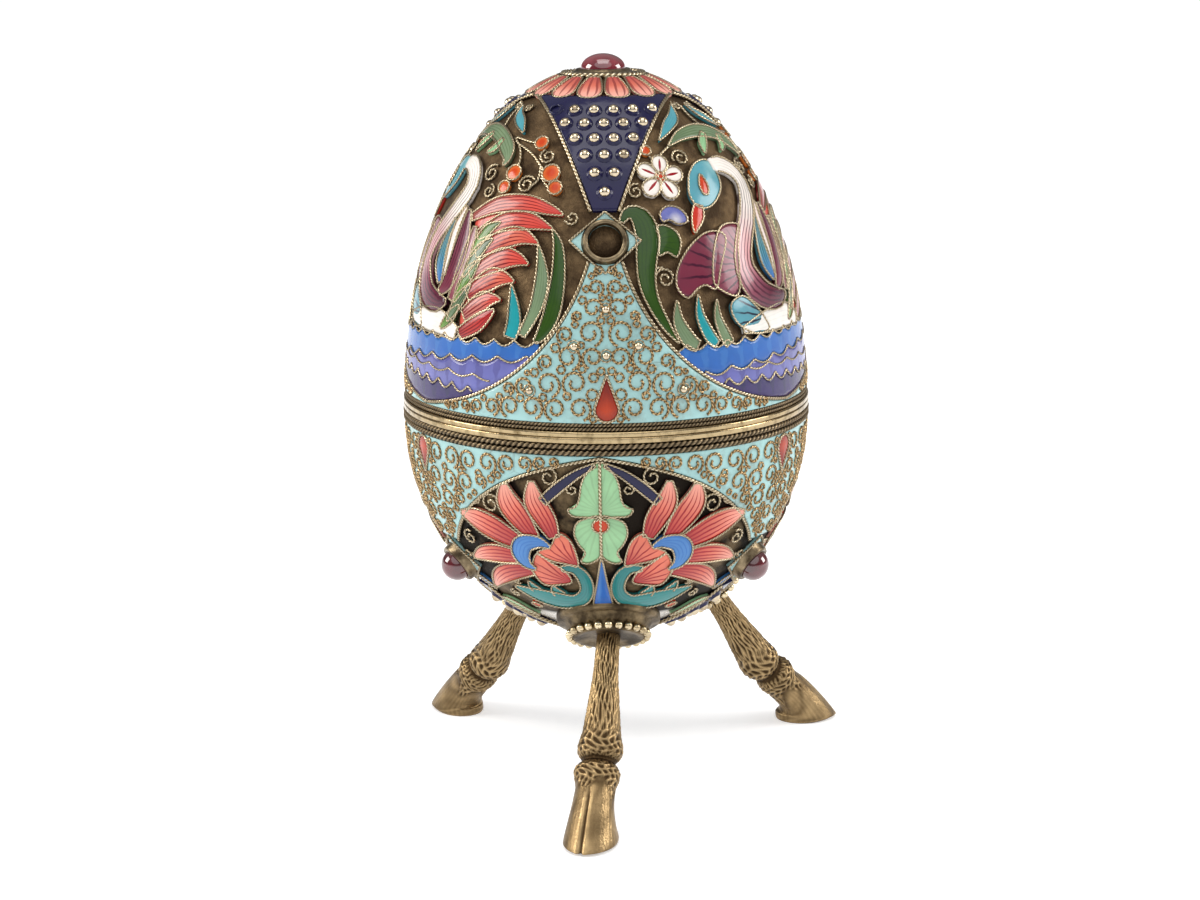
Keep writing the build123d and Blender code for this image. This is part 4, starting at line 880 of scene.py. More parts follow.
def petalRows():
    # a petal as a spine up the lid, its half-width shrinking with the girth and rounding off at the foot
    r = np.array(crown["girth"])
    half = (r * np.sin(np.pi / crown["count"]) - crown["gap"] / 2) * crown["share"]
    return np.stack([0 * r, flankY(lid, np.arccos(r / eggR)), half * eggR / r], -1)[::-1]


def lidLevel(girth, h):
    # height of the lid's surface, or of a layer h above it, where it has a given girth
    return float(onEgg(lid, 0.0, flankY(lid, np.arccos(girth / eggR)), h)[2])


petal, petalEdge = ribbon(lid, petalRows(), crown["tints"], "wine", 0.75, 0.04)
petalWire = wireOn(lid, petalEdge, crown["gauge"], crown["pitch"], True, 0.05)
petalAngles = [360 / crown["count"] * (k + 0.5) for k in range(crown["count"])]
makePiece("crown_leaves", "lid", petalEnamel, spread([petal], petalAngles), ["crown_petals"])
makePiece("crown_leaf_wires", "lid", giltWire, spread([petalWire], petalAngles))
crownRope = ropeRing(crown["ring"], lidLevel(crown["ring"], 0) - 0.1, crown["rope"], 1)
makePiece("crown_rope", "lid", giltWire, [crownRope], ["crown_rope_ring"])
pole = seamZ + lid["height"] - bedDepth
base, top, floorZ = lidLevel(crown["bezel"], -bedDepth), pole + 0.2, pole - 0.74
bezelLoop = [(0, pole - 0.85), (crown["bezel"], base - 0.25), (4.75, base + 0.3), (4.3, base + 0.42), (4.0, top - 0.2),
             (3.9, top), (3.5, top + 0.05), (3.36, top - 0.1), (3.35, floorZ + 0.02), (0, floorZ)]
makePiece("crown_setting", "lid", cupMetal, [spun(bezelLoop, 72)], ["crown_bezel"])
gem = crown["stone"]
crownGem = spun(domeProfile(gem["radius"], 0.0, gem["dome"], gem["girdle"], 18) + [0, floorZ], 64)
makePiece("crown_stone", "lid", crownStone, [crownGem], ["crown_cabochon"])
print("crown ready")

# bird panels on the lid: x from the panel's middle, y up from the seam, half-width
# each group becomes one piece; a spine cell is (tint, deep, streak, level, rows of x, y, half-width) from its
# root to its tip, a rounded cell (tint, deep, streak, level, focus of its strokes, outline)
swan = {
    "gauge": 0.38, "pitch": 0.56, "bed": -0.1, "rise": 0.05, "scrollGauge": 0.46, "sink": -0.2,
    "lifts": {"neck": 0.13, "head": 0.15, "blossom": 0.12},
    "swans": {
        "node": "lid_swans", "slot": "swan_enamel",
        "spines": (
            (("mauve", "plum", "plum"), "aubergine", 1, 0.02, ((3.6, 33, 0.5), (4.2, 28, 1.7), (4, 24, 1.9),
                (2.8, 20.5, 1.5), (1, 18.8, 0.6))),
            (("pink", "plum"), "aubergine", 0.9, 0, ((6.6, 30.2, 0.4), (6.5, 27, 1), (5.6, 22, 1),
                (4.4, 18, 0.6))),
            (("turquoise", "aqua", "cobalt"), "ink", 0.9, 0.05, ((0.2, 31, 0.4), (-0.6, 27, 1.2),
                (-0.6, 23.4, 1.6), (0.6, 20.2, 0.5))),
            ("white", "pink", 0.4, 0, ((2.4, 33.6, 0.3), (1.3, 29.6, 0.9), (1.2, 25.5, 0.9), (1.4, 21.5, 0.4))),
            ("white", "aqua", 0.15, -0.02, ((-9.4, 13.6, 0.5), (-4, 14.2, 1.6), (2, 14.4, 1.9),
                (6.8, 13.2, 1))),
        ),
        "rounds": (
            ("plum", "aubergine", 1, 0.02, (-8.6, 22.4), ((-9.6, 28.4), (-13, 29.5), (-16.8, 27.6),
                (-19.6, 24.4), (-20.4, 21.2), (-18.8, 19.3), (-17, 20.5), (-15.4, 21), (-13.6, 20.3),
                (-12, 23.6))),
            (("mauve", "plum"), "aubergine", 1, 0.04, (-6, 23), ((-5.6, 29.9), (-9.8, 30.2), (-12.6, 26.6),
                (-13.9, 21.8), (-12.8, 20), (-9.6, 18.9), (-8.3, 22.6), (-7.3, 26.4))),
            (("turquoise", "aqua", "aqua"), "ink", 1, 0, (-2.6, 14.8), ((-10.9, 18), (-8.4, 18.6), (-5.6, 16.4),
                (-4.2, 14.6), (-3.6, 13), (-6.8, 12.8), (-10, 14.4), (-11.3, 16.4))),
            ("orange", "ember", 0.3, 0.24, None, ((-11.1, 40.3), (-10.2, 38.2), (-10.7, 36.3), (-11.9, 36.3),
                (-12.2, 38.2))),
        ),
    },
    "tails": {
        "node": "lid_tails", "slot": "coral_enamel",
        "spines": (
            (flame, "wine", 1, 0.02, ((5, 31.8, 0.8), (10.5, 34.6, 1.6), (16.5, 35.3, 1.6), (21.3, 34.3, 1),
                (24, 33.4, 0.2))),
            (flame, "wine", 1, 0, ((7.8, 28.8, 0.9), (13, 31.6, 1.7), (18, 32, 1.5), (22.4, 30.8, 0.2))),
            (glowing, "wine", 1, 0.03, ((8.4, 25.8, 0.9), (13.6, 28.6, 1.7), (17, 29.3, 1.4),
                (20.2, 28.2, 0.2))),
            (flame, "wine", 1, 0, ((8, 22.2, 1), (13.6, 25.2, 1.8), (16.6, 25.5, 1.2), (18.9, 24.8, 0.2))),
            (glowing, "wine", 1, 0.03, ((8.2, 19.2, 1), (12.4, 21.9, 1.7), (14.8, 22.3, 1.1),
                (16.8, 21.9, 0.2))),
            (flame, "wine", 1, 0, ((8, 16, 1), (11.4, 18.4, 1.5), (13.4, 19, 0.8), (14.8, 19, 0.2))),
            (("coral", "ember", "wine"), "wine", 1, 0.03, ((7.6, 13.2, 0.9), (10.6, 14.9, 1.3),
                (12.6, 16.4, 0.9), (13.9, 17.4, 0.2))),
        ),
        "rounds": (
            ("coral", "wine", 0.6, -0.12, (6.5, 21), ((6, 32.6), (12, 35), (18.5, 33.6), (18.6, 31), (16.2, 28),
                (15.4, 24.6), (13.6, 21), (12.2, 17.6), (11.4, 14.6), (8, 13), (7.2, 16), (7.6, 21),
                (7.8, 26))),
        ),
    },
    "leaves": {
        "node": "lid_leaves", "slot": "leaf_enamel",
        "spines": (
            ("lime", "moss", 1, 0.05, ((12.2, 31.4, 0.2), (9.9, 29.9, 1), (8.2, 27.2, 0.9), (7.4, 25.2, 0.2))),
            ("sage", "moss", 1, 0.08, ((11.4, 28.4, 0.2), (9.4, 26.6, 1), (7.6, 23.8, 0.9), (6.8, 21.8, 0.2))),
            ("lime", "moss", 1, 0.06, ((9.6, 24.8, 0.2), (8, 22.6, 1.1), (6.4, 19.8, 0.9), (5.6, 17.8, 0.2))),
            ("sage", "moss", 1, 0.08, ((8.6, 20.8, 0.2), (7, 18.6, 1), (5.6, 16.4, 0.8), (4.6, 14.8, 0.2))),
            ("lime", "moss", 1, 0.06, ((6.8, 17.4, 0.2), (5.4, 15.8, 0.9), (4, 14.4, 0.7), (3, 13.6, 0.2))),
            ("sage", "bottle", 0.25, 0, ((-20.6, 19, 0.1), (-20.6, 16, 0.8), (-19.2, 13.2, 1.1),
                (-17.8, 12.2, 0.8))),
            ("teal", "petrol", 0.25, 0, ((-17, 19.6, 0.1), (-17, 16.6, 0.65), (-15.8, 13.6, 0.9),
                (-14.6, 12.2, 0.7))),
            ("sage", "bottle", 0.25, 0, ((-13.8, 18.6, 0.1), (-14, 16, 0.6), (-13, 13.2, 0.9),
                (-12.3, 12, 0.8))),
            ("bottle", "moss", 0.3, 0, ((22.5, 30.7, 0.1), (23.7, 28, 0.75), (24.1, 23.5, 1.05),
                (23.5, 18, 1.25), (22.2, 14.6, 0.9), (21, 13.2, 0.3))),
            ("sage", "bottle", 0.25, 0, ((20.3, 28, 0.1), (21.1, 25.3, 0.65), (21.5, 22, 1.1), (20.8, 18, 0.95),
                (18.9, 14, 0.6))),
            ("teal", "petrol", 0.25, 0, ((16.5, 21.4, 0.1), (17.2, 18.5, 0.8), (17.5, 15.8, 1.1),
                (17, 13.6, 1))),
            ("bottle", "moss", 0.35, 0, ((-28.6, 32, 0.4), (-27.3, 33.7, 1.1), (-25.2, 32.8, 1.8),
                (-24.3, 29.4, 2), (-24.9, 25.2, 1.6), (-25, 22, 1.3), (-24.3, 19, 0.95), (-22.6, 15.5, 0.65),
                (-20.8, 12.9, 0.1))),
            ("sage", "bottle", 0.5, 0, ((-15.8, 48.1, 0.2), (-11, 50.8, 1.4), (-4.5, 51.7, 2), (2, 50.2, 2),
                (6.8, 47, 1.9), (8.4, 44.4, 1), (8, 42.9, 0.3))),
            ("mint", "bottle", 0.4, 0.02, ((-3, 50.6, 0.8), (-5.4, 47.8, 1.2), (-6.6, 45.3, 0.3))),
            ("mint", "bottle", 0.4, 0.02, ((3.4, 49.4, 0.7), (2.2, 46.8, 1), (0.2, 45.4, 0.3))),
            ("aqua", "teal", 0.5, 0, ((-17.8, 49.7, 0.15), (-13.5, 53.9, 1.5), (-9.8, 57.2, 1.6),
                (-7.4, 61.6, 0.3))),
            ("aqua", "teal", 0.5, 0, ((9, 52, 0.3), (5.6, 55.2, 1.5), (2.2, 58, 1.3), (0.2, 61.6, 0.3))),
        ),
        "rounds": (
            ("bottle", "moss", 0.4, 0.02, (-24.5, 28.5), ((-22.5, 30.9), (-21, 31.2), (-19.2, 30), (-18.7, 28),
                (-19.7, 25.8), (-21.2, 26.6), (-22.7, 26.2), (-22.4, 28.6))),
        ),
    },
    "blossoms": {
        "node": "lid_blossoms", "slot": "flower_enamel",
        "spines": (
            (("ember", "orange"), "ember", 0.3, 0.06, ((-13.6, 34.4, 0.9), (-14.4, 32.4, 1.2),
                (-15.3, 30.6, 0.7), (-15.7, 29.5, 0.15))),
        ),
        "rounds": (
            (("white", "periwinkle", "periwinkle"), "cobalt", 0.3, 0, (-18.8, 32), ((-21.3, 31.9),
                (-21.6, 33.4), (-20.1, 34.6), (-18, 34.3), (-16.7, 32.8), (-16.8, 31.5), (-18.6, 31.3),
                (-20, 32.1))),
        ),
    },
    # the neck runs from the curl on the breast up to the head; both lie in one cell, with no wire between them
    "neck": ((3.5, 17.6, 0.4), (1, 17.2, 1.5), (-2.6, 17.9, 2.1), (-5.6, 20, 2.5), (-6.9, 23.4, 2.1),
        (-5.4, 27.2, 1.9), (-1.6, 32, 2), (1, 37, 2.1), (-0.4, 40.4, 2), (-3.6, 42.2, 1.9), (-6.8, 42.2, 1.5)),
    "neckTints": ("aubergine", "plum", "plum", "mauve", "pink", "pink", "white", "white", "white", "white",
        "white"),
    "head": ((-7.4, 43.5), (-10.8, 43.2), (-13.4, 41), (-14.5, 38.6), (-15, 36.2), (-13.8, 34), (-11.3, 33.8),
        (-8.6, 35.4), (-6.6, 37.6), (-6.2, 40.6)),
    "headTints": ("turquoise", "aqua", "aqua", "aqua"), "headFocus": (-5.6, 42.6),
    # rows of (x, y, radius)
    "berries": ((16.1, 49.2, 1.7), (20.4, 41.7, 1.9), (21.8, 38.6, 1.4), (11.8, 41.4, 1.7), (10.6, 38.2, 1.3),
        (-22, 47, 1.2)),
    # petal and stroke: share of the reach, then share of the half-width or the half-width itself
    "blossom": {
        "middle": (-20.1, 40.6), "reach": 4.2, "petals": 5, "start": 80, "half": 1.75, "eye": 1.1,
        "petal": ((0.12, 0.3), (0.45, 0.8), (0.8, 1), (1.05, 0.75), (1.18, 0.2)),
        "stroke": ((0.3, 0.1), (0.55, 0.34), (0.8, 0.3), (0.98, 0.06)),
    },
    "scrolls": ((-13.8, 45, 2.2, 200, -1.5), (-4, 62.1, 2, 120, 1.4), (-22, 22.6, 1.6, 160, -1.5),
        (5.2, 41, 2.1, 60, 1.5), (6.6, 37.2, 1.5, 90, -1.4), (15.4, 39.2, 2, 30, 1.6), (3, 61.4, 1.8, 60, -1.4),
        (18.6, 46, 2, 120, 1.5), (-25.5, 38, 1.6, 60, 1.4), (-17.5, 24.6, 0.9, 90, 1.2),
        (25.6, 33, 1.3, 200, 1.3)),
    "stems": (((7.1, 50.4), (10, 48), (11.6, 45.4), (12, 43.2)), ((7.6, 50.6), (12.6, 49.6), (14.4, 49.4)),
        ((8, 49.4), (14, 46.6), (17.4, 43.6), (18.6, 42.2)), ((17.6, 43.2), (17.8, 40.4), (16.2, 38.6)),
        ((18.4, 40.8), (20.4, 38.6)), ((11.4, 39.8), (10.9, 39.2)), ((-20.4, 44.6), (-21.4, 45.8)),
        ((-15.8, 48.1), (-18.4, 46.2), (-19.2, 44.8)), ((-24.4, 23.6), (-23.4, 24.2), (-22.2, 24.3)),
        ((-1, 53.6), (-2.4, 57.4), (-2.2, 61.4))),
}


def cellGroup(side, group, work, way=1):
    # the cells of a group and the wires that fence them; a cell laid low is a bed without a wire
    cells, wires = [], []
    flip, flipRow = [way, 1], [way, 1, 1]
    gauge, pitch, rise = work["gauge"], work["pitch"], work["rise"]
    for tint, deep, streak, level, rows in group.get("spines", ()):
        cells.append((*ribbon(side, np.array(rows) * flipRow, tint, deep, streak, level), level))
    for tint, deep, streak, level, focus, outline in group.get("rounds", ()):
        spot = None if focus is None else np.array(focus) * flip
        cells.append((*patch(side, np.array(outline) * flip, tint, deep, streak, spot, level), level))
    for part, edge, level in cells:
        if level > work["bed"]:
            wires.append(wireOn(side, edge, gauge, pitch, True, rise + level))
    for tint, deep, streak, level, rows in group.get("lobes", ()):  # their wire is open at the root
        part, edge = ribbon(side, np.array(rows) * flipRow, tint, deep, streak, level)
        clear = len(edge) // 6
        cells.append((part, edge, level))
        wires.append(wireOn(side, edge[clear:-clear], gauge, pitch, False, rise))
    return [part for part, edge, level in cells], wires


def lineWires(side, work, paths):
    # loose scrolls and stems, bedded in the ground
    return [wireOn(side, path, work["scrollGauge"], work["pitch"], False, work["sink"]) for path in paths]


groups = {key: cellGroup(lid, swan[key], swan) for key in ("swans", "tails", "leaves", "blossoms")}
swanWires = [wire for cells, wires in groups.values() for wire in wires]

neckPart, neckEdge = ribbon(lid, swan["neck"], swan["neckTints"], "aubergine", 0.85, 0.08)
headPart, headEdge = patch(lid, swan["head"], swan["headTints"], "teal", 0.1, swan["headFocus"], 0.1)
groups["swans"][0].extend([neckPart, headPart])
half = len(neckEdge) // 2
openNeck = np.vstack([neckEdge[:half][::-1], neckEdge[half:][::-1]])[1:-1]
swanWires.append(wireOn(lid, openNeck, swan["gauge"], swan["pitch"], False, swan["lifts"]["neck"]))
swanWires.append(wireOn(lid, headEdge[:37], swan["gauge"], swan["pitch"], False, swan["lifts"]["head"]))

bloom = swan["blossom"]
fenced = []
for k in range(bloom["petals"]):
    a = np.radians(bloom["start"] + 360 / bloom["petals"] * k)
    out = np.array([np.cos(a), np.sin(a)]) * bloom["reach"]
    rows = [(*(bloom["middle"] + out * s), bloom["half"] * w) for s, w in bloom["petal"]]
    fenced.append(ribbon(lid, rows, "white", "white", 0.0, 0.03))
    rows = [(*(bloom["middle"] + out * s), w) for s, w in bloom["stroke"]]
    groups["blossoms"][0].append(ribbon(lid, rows, "crimson", "wine", 0.3, 0.09)[0])
fenced.append(patch(lid, ringPath(*bloom["middle"], bloom["eye"]), "orange", "ember", 0.3, None, 0.14))
for berry in swan["berries"]:
    fenced.append(patch(lid, ringPath(*berry), ("orange", "orange", "amber"), "ember", 0.0, None, 0.06))
groups["blossoms"][0].extend(part for part, edge in fenced)
lift = swan["lifts"]["blossom"]
swanWires += [wireOn(lid, edge, swan["gauge"], swan["pitch"], True, lift) for part, edge in fenced]
swanWires += lineWires(lid, swan, [scroll(*row) for row in swan["scrolls"]])
swanWires += lineWires(lid, swan, [curve(row, 24) for row in swan["stems"]])
for key, (cells, wires) in groups.items():
    cells = spread(cells, lid["panels"])
    makePiece(key + "_enamel", "lid", cellEnamel, cells, [swan[key]["node"]])
for letter, a in zip("abc", lid["panels"]):
    makePiece("swan_wires_" + letter, "lid", giltWire, spread(swanWires, (a,)))

# waves: three bands between crest lines, cut off by the panel's round foot
waves = {"reach": 21.6, "stations": 150, "rows": 6, "level": 0.02, "gauge": 0.36, "pitch": 0.6, "lift": 0.06,
         "clear": 0.6, "least": 0.05, "strokes": 0.12, "streak": 0.35,
         # each line: base, slope, height of a wave, its length, shift
         "top": (12.4, 0.02, 0.9, 3.4, 0.8), "mid": (9.2, 0.07, 0.9, 4.6, 1.4), "low": (5.9, -0.05, 1.1, 3.3, 0.2),
         "floor": (1.0, 0, 0, 1, 0), "inner": (7.8, -0.03, 0.7, 5.2, 0.6), "innerEnds": (-9, 14),
         "innerLift": 0.05}


def crest(x, base, slope, high, length, shift):
    # rounded troughs between sharp peaks, on a slope
    return base + slope * x + high * (0.6 - np.abs(np.sin(np.pi * (x - shift) / length)))


def panelFoot(x):
    # the hollow sides of the two neighbouring fields, read as the panel's lower edge
    far = eggR * turn / 6
    return np.interp(far - np.abs(x), lid["edge"][::-1, 0], lid["edge"][::-1, 1]) + waves["clear"]


def waveBand(lower, upper, tint, deep):
    # rows between two crest lines, neither below the panel's foot, closed down to the metal
    x = np.linspace(-waves["reach"], waves["reach"], waves["stations"])
    low, high = (np.maximum(crest(x, *waves[line]), panelFoot(x)) for line in (lower, upper))
    keep = high - low > waves["least"]
    x, low, high = x[keep], low[keep], high[keep]
    v = np.r_[np.linspace(0, 1, waves["rows"]), 1, 0]
    h = np.r_[np.full(waves["rows"], waves["level"]), cellWork["foot"], cellWork["foot"]]
    y = low[:, None] + v[None, :] * (high - low)[:, None]
    xs = np.broadcast_to(x[:, None], y.shape)
    grain = np.stack(np.broadcast_arrays(1 - v[None, :], xs * waves["strokes"], waves["streak"]), -1)
    edge = np.stack([x, high], -1)
    return solid(onEgg(lid, xs, y, h), tint=linear(tint), deep=linear(deep), grain=grain), edge


bands = [waveBand("mid", "top", "cobalt", "sky"), waveBand("low", "mid", "periwinkle", "indigo"),
         waveBand("floor", "low", "indigo", "ink")]
waveWires = [wireOn(lid, edge, waves["gauge"], waves["pitch"], False, waves["lift"]) for part, edge in bands]
x = np.linspace(*waves["innerEnds"], 60)
inner = np.stack([x, crest(x, *waves["inner"])], -1)
waveWires.append(wireOn(lid, inner, waves["gauge"], waves["pitch"], False, waves["innerLift"]))
waveCells = spread([part for part, edge in bands], lid["panels"])
makePiece("wave_enamel", "lid", cellEnamel, waveCells, ["lid_waves"])
makePiece("wave_wires", "lid", giltWire, spread(waveWires, lid["panels"]))
print("swan panels ready")

# flower panels on the bowl: one half given, the other mirrored
flower = {
    "gauge": 0.38, "pitch": 0.56, "bed": -0.1, "rise": 0.05, "scrollGauge": 0.46, "sink": -0.2,
    "flowers": {
        "node": "bowl_flowers", "slot": "coral_enamel",
        "spines": (
            (bloomTints, "crimson", 1, 0.02, ((7.2, -15.6, 0.9), (8.2, -12.6, 1.7), (9.6, -9.6, 1.65),
                (9.9, -6.6, 0.45))),
            (bloomTints, "crimson", 1, 0, ((10.4, -15.9, 1), (12.2, -13, 1.9), (13.9, -10.2, 1.95),
                (14.3, -7.4, 0.6))),
            (bloomTints, "crimson", 1, 0.02, ((13.2, -17.1, 1.5), (17, -15.4, 2.3), (20.5, -14.1, 2),
                (23.7, -13.4, 0.45))),
            (bloomTints, "crimson", 1, 0.02, ((13.4, -20.2, 1.3), (17.5, -20.2, 1.9), (21.4, -20.9, 1.6),
                (24.8, -22.4, 0.45))),
            (bloomTints, "crimson", 1, 0, ((12.4, -22.8, 1.3), (17.2, -24.3, 2), (20.8, -26.6, 1.7),
                (24.2, -30, 0.45))),
            ("sky", "cobalt", 0.5, 0.2, ((8, -17.3, 0.3), (9.8, -16.5, 1.05), (12.3, -17.1, 1.55),
                (13.4, -19.2, 1.6), (12.9, -21.2, 1.1), (11.4, -22.3, 0.3))),
        ),
        "rounds": (
            (cheek, "crimson", 1, 0.04, (4, -21.3), ((8, -17.2), (6.6, -14.9), (4.9, -15.7), (4, -18.2),
                (3.9, -21.1), (5.8, -20.7), (8.2, -20.2), (10.4, -18.7))),
            (cheek, "crimson", 1, 0.02, (5.4, -25.3), ((10.4, -18.9), (8.7, -20.3), (6.2, -22.4), (5.4, -25.1),
                (7.6, -26), (10.7, -26.4), (12.1, -23.7), (11.6, -20.8))),
            ("orange", "ember", 0.3, 0.04, None, ((14, -34.6), (15.2, -33.5), (16.6, -34), (15.4, -35.3))),
        ),
    },
    "leaves": {
        "node": "bowl_leaves", "slot": "leaf_enamel",
        "spines": (
            ("petrol", "ink", 0.25, 0.02, ((6.8, -21.9, 0.6), (4.4, -22, 1.05), (3, -24.5, 1.2), (3, -28, 1.3),
                (5, -31, 2), (9, -31.6, 2.9), (13.2, -30.4, 2.4), (17.8, -28.3, 0.4))),
            ("mint", "sage", 0.3, 0, ((18.6, -41.4, 0.25), (21.2, -38.8, 1.2), (23.9, -36.2, 1.4),
                (27.1, -35.4, 0.4))),
            ("sky", "cobalt", 0.3, 0, ((25, -31.2, 0.3), (27, -29.4, 0.75), (28.8, -27.8, 0.3))),
        ),
        "lobes": (
            ("petrol", "ink", 0, -0.08, ((7.6, -30.6, 1.5), (8.8, -28.4, 1.15), (9.2, -26.6, 0.2))),
            ("petrol", "ink", 0, -0.08, ((12.2, -29.8, 1.4), (13.4, -27.7, 1), (13.9, -26, 0.2))),
        ),
    },
    "lilies": {
        "node": "bowl_lilies", "slot": "leaf_enamel",
        "spines": (
            ("navy", "ink", 0.2, 0, ((0.7, -3.9, 0.3), (3.3, -5.3, 0.6), (6, -7.4, 0.75), (8.4, -9.6, 0.7))),
        ),
        "rounds": (
            ("mint", "sage", 0.25, 0, (0, -11), ((0.05, -3.5), (1.7, -4.9), (2.6, -6.6), (3, -9), (3.6, -10.2),
                (4.7, -10.7), (4, -11.7), (2.2, -11.8), (0.05, -11.6), (0.05, -7.5))),
            ("mint", "sage", 0.25, 0, (0, -12), ((0.05, -11.8), (2.3, -12.1), (3.6, -13), (4, -14.8),
                (3.4, -16.7), (2.5, -18.3), (3.3, -20.1), (1.8, -20.4), (0.1, -18.8), (0.05, -15.5))),
        ),
    },
    "middle": {
        "rounds": (
            ("orange", "ember", 0.3, 0.2, None, ((-1.2, -13.2), (-0.85, -12.4), (0, -12.05), (0.85, -12.4),
                (1.2, -13.2), (0.85, -14), (0, -14.35), (-0.85, -14))),
            ("cobalt", "sky", 0.5, 0.04, (0, -19), ((0, -19.4), (0.35, -21), (0.9, -25), (1.7, -30),
                (1.9, -32.2), (1.1, -33.2), (0, -33.5), (-1.1, -33.2), (-1.9, -32.2), (-1.7, -30), (-0.9, -25),
                (-0.35, -21))),
        ),
    },
    "scrolls": ((7.4, -5.9, 1.6, 20, 1.4), (17.2, -11, 1.7, 150, -1.4), (23.9, -18.2, 1.5, 120, -1.4),
        (27, -22.6, 1.4, 150, 1.4), (17, -26.9, 0.9, 200, 1.3), (19.6, -31.4, 1.3, 100, -1.3),
        (4, -7.6, 0.9, 60, -1.2), (20, -10.4, 1.2, 60, -1.3)),
    "stem": {"path": ((0, -3.6), (0, -8), (0, -13), (0, -19.2)), "gauge": 0.6, "pitch": 0.6, "lift": 0.15},
}
stem = flower["stem"]
flowerWires = [wireOn(bowl, curve(stem["path"], 30), stem["gauge"], stem["pitch"], False, stem["lift"])]
for way in (1, -1):
    flowerWires += lineWires(bowl, flower, [scroll(*row) * [way, 1] for row in flower["scrolls"]])
middleCells, middleWires = cellGroup(bowl, flower["middle"], flower)
flowerWires += middleWires
for key in ("flowers", "leaves", "lilies"):
    cells = []
    for way in (1, -1):
        more, wires = cellGroup(bowl, flower[key], flower, way)
        cells += more
        flowerWires += wires
    cells = spread(cells + (middleCells if key == "lilies" else []), bowl["panels"])
    makePiece("bowl_" + key + "_enamel", "bowl", cellEnamel, cells, [flower[key]["node"]])
for letter, a in zip("abc", bowl["panels"]):
    makePiece("flower_wires_" + letter, "bowl", giltWire, spread(flowerWires, (a,)))
print("flower panels ready")

legs = {
    # name, azimuth, radius of the collar, drift of the sole sideways and outwards
    "places": (("front", 0.0, 15.0, -2.3, 0.0), ("right", 116.0, 15.9, 3.7, 0.2), ("left", 236.0, 14.1, -6.4, 3.1)),
    "swing": 15.0, "collar": 2.6, "seed": 11,
    # share of the run, sway, depth, width, bend
    "sections": ((-0.012, 0.0, 3.3, 3.2, 0.0), (0.1, 0.05, 3.45, 3.35, 0.0), (0.2, 0.1, 3.7, 3.6, 0.0),
                 (0.33, 0.1, 4.5, 4.4, 0.0), (0.47, 0.1, 5.6, 5.4, 0.0), (0.575, 0.2, 6.3, 6.5, 3.0),
                 (0.632, 0.5, 4.8, 5.1, 8.0), (0.685, 1.0, 6.3, 6.6, 12.0), (0.76, 1.3, 5.7, 5.8, 14.0),
                 (0.86, 1.8, 6.1, 6.1, 18.0)),
    # height, reach, length, width of the hoof's lower edge
    "soles": ((1.2, 1.5, 9.3, 7.5), (0.4, 1.5, 9.5, 7.6), (0.0, 1.1, 8.4, 7.0)), "rows": 230, "cols": 120,
    "fur": 0.28, "cleft": 0.34, "lines": 0.04, "ridge": 0.1, "groove": 0.16,
}
collarProfile = [(0, -0.4), (7.4, -1.35), (7.65, -0.9), (7.62, -0.1), (7.45, 0.2), (6.75, 0.3), (6.4, 0.5),
                 (6.25, 0.9), (5.95, 1.4), (5.35, 1.75), (5.2, 2.0), (5.25, 2.5), (5.05, 2.72), (4.5, 2.7),
                 (3.9, 2.45), (2.8, 2.3), (0, 2.3)]
beads = {"radius": 0.62, "ring": 5.75, "count": 24, "height": 2.2}


def legFrame(azimuth, radius):
    # where a collar stands on the bowl's metal, and the way its leg runs
    a = np.radians(azimuth)
    level = np.array([np.sin(a), -np.cos(a), 0.0])
    fall = np.arccos(radius / (eggR - bedDepth))
    origin = level * radius + [0, 0, bowl["centre"] - (bowl["height"] - bedDepth) * np.sin(fall)]
    tilt = np.arctan2(np.sin(fall) / bowl["height"], np.cos(fall) / eggR)
    down = level * np.cos(tilt) - np.array([0, 0, np.sin(tilt)])
    up = level * np.sin(tilt) + np.array([0, 0, np.cos(tilt)])
    return origin, down, up, level


def hump(distance, width):
    # a smooth bump: the bell curve of a distance over a width
    return np.exp(-(distance / width) ** 2)


def ramp(distance, slope):
    # a value that climbs from 0 to 1 at a slope and stays there
    return np.clip(distance * slope, 0, 1)


def legSpine(origin, down, up, level, aside, beyond):
    # rows of place, two axes, depth and width, from the collar along the run and down to the sole
    swing = np.radians(legs["swing"])
    start = origin + down * legs["collar"]
    foot = origin + down * (origin[2] / -down[2]) + np.cross([0, 0, 1], level) * aside + level * beyond
    run = np.linalg.norm(foot - start)
    axis = unit(foot - start)
    swung = up * np.cos(swing) + np.cross(down, up) * np.sin(swing)
    outward = unit(swung - axis * (swung @ axis))
    rows = []
    for share, sway, depth, width, bend in legs["sections"]:
        lean = np.radians(bend)
        across = outward * np.cos(lean) - axis * np.sin(lean)
        along = axis * np.cos(lean) + outward * np.sin(lean)
        spot = start + axis * share * run + outward * sway
        rows.append(np.r_[spot, across, np.cross(along, across), depth, width])
    toeWay = unit(outward * [1, 1, 0])
    for height, reach, length, width in legs["soles"]:
        spot = foot + toeWay * reach
        rows.append(np.r_[spot[:2], height, toeWay, np.cross([0, 0, -1], toeWay), length, width])
    return rows


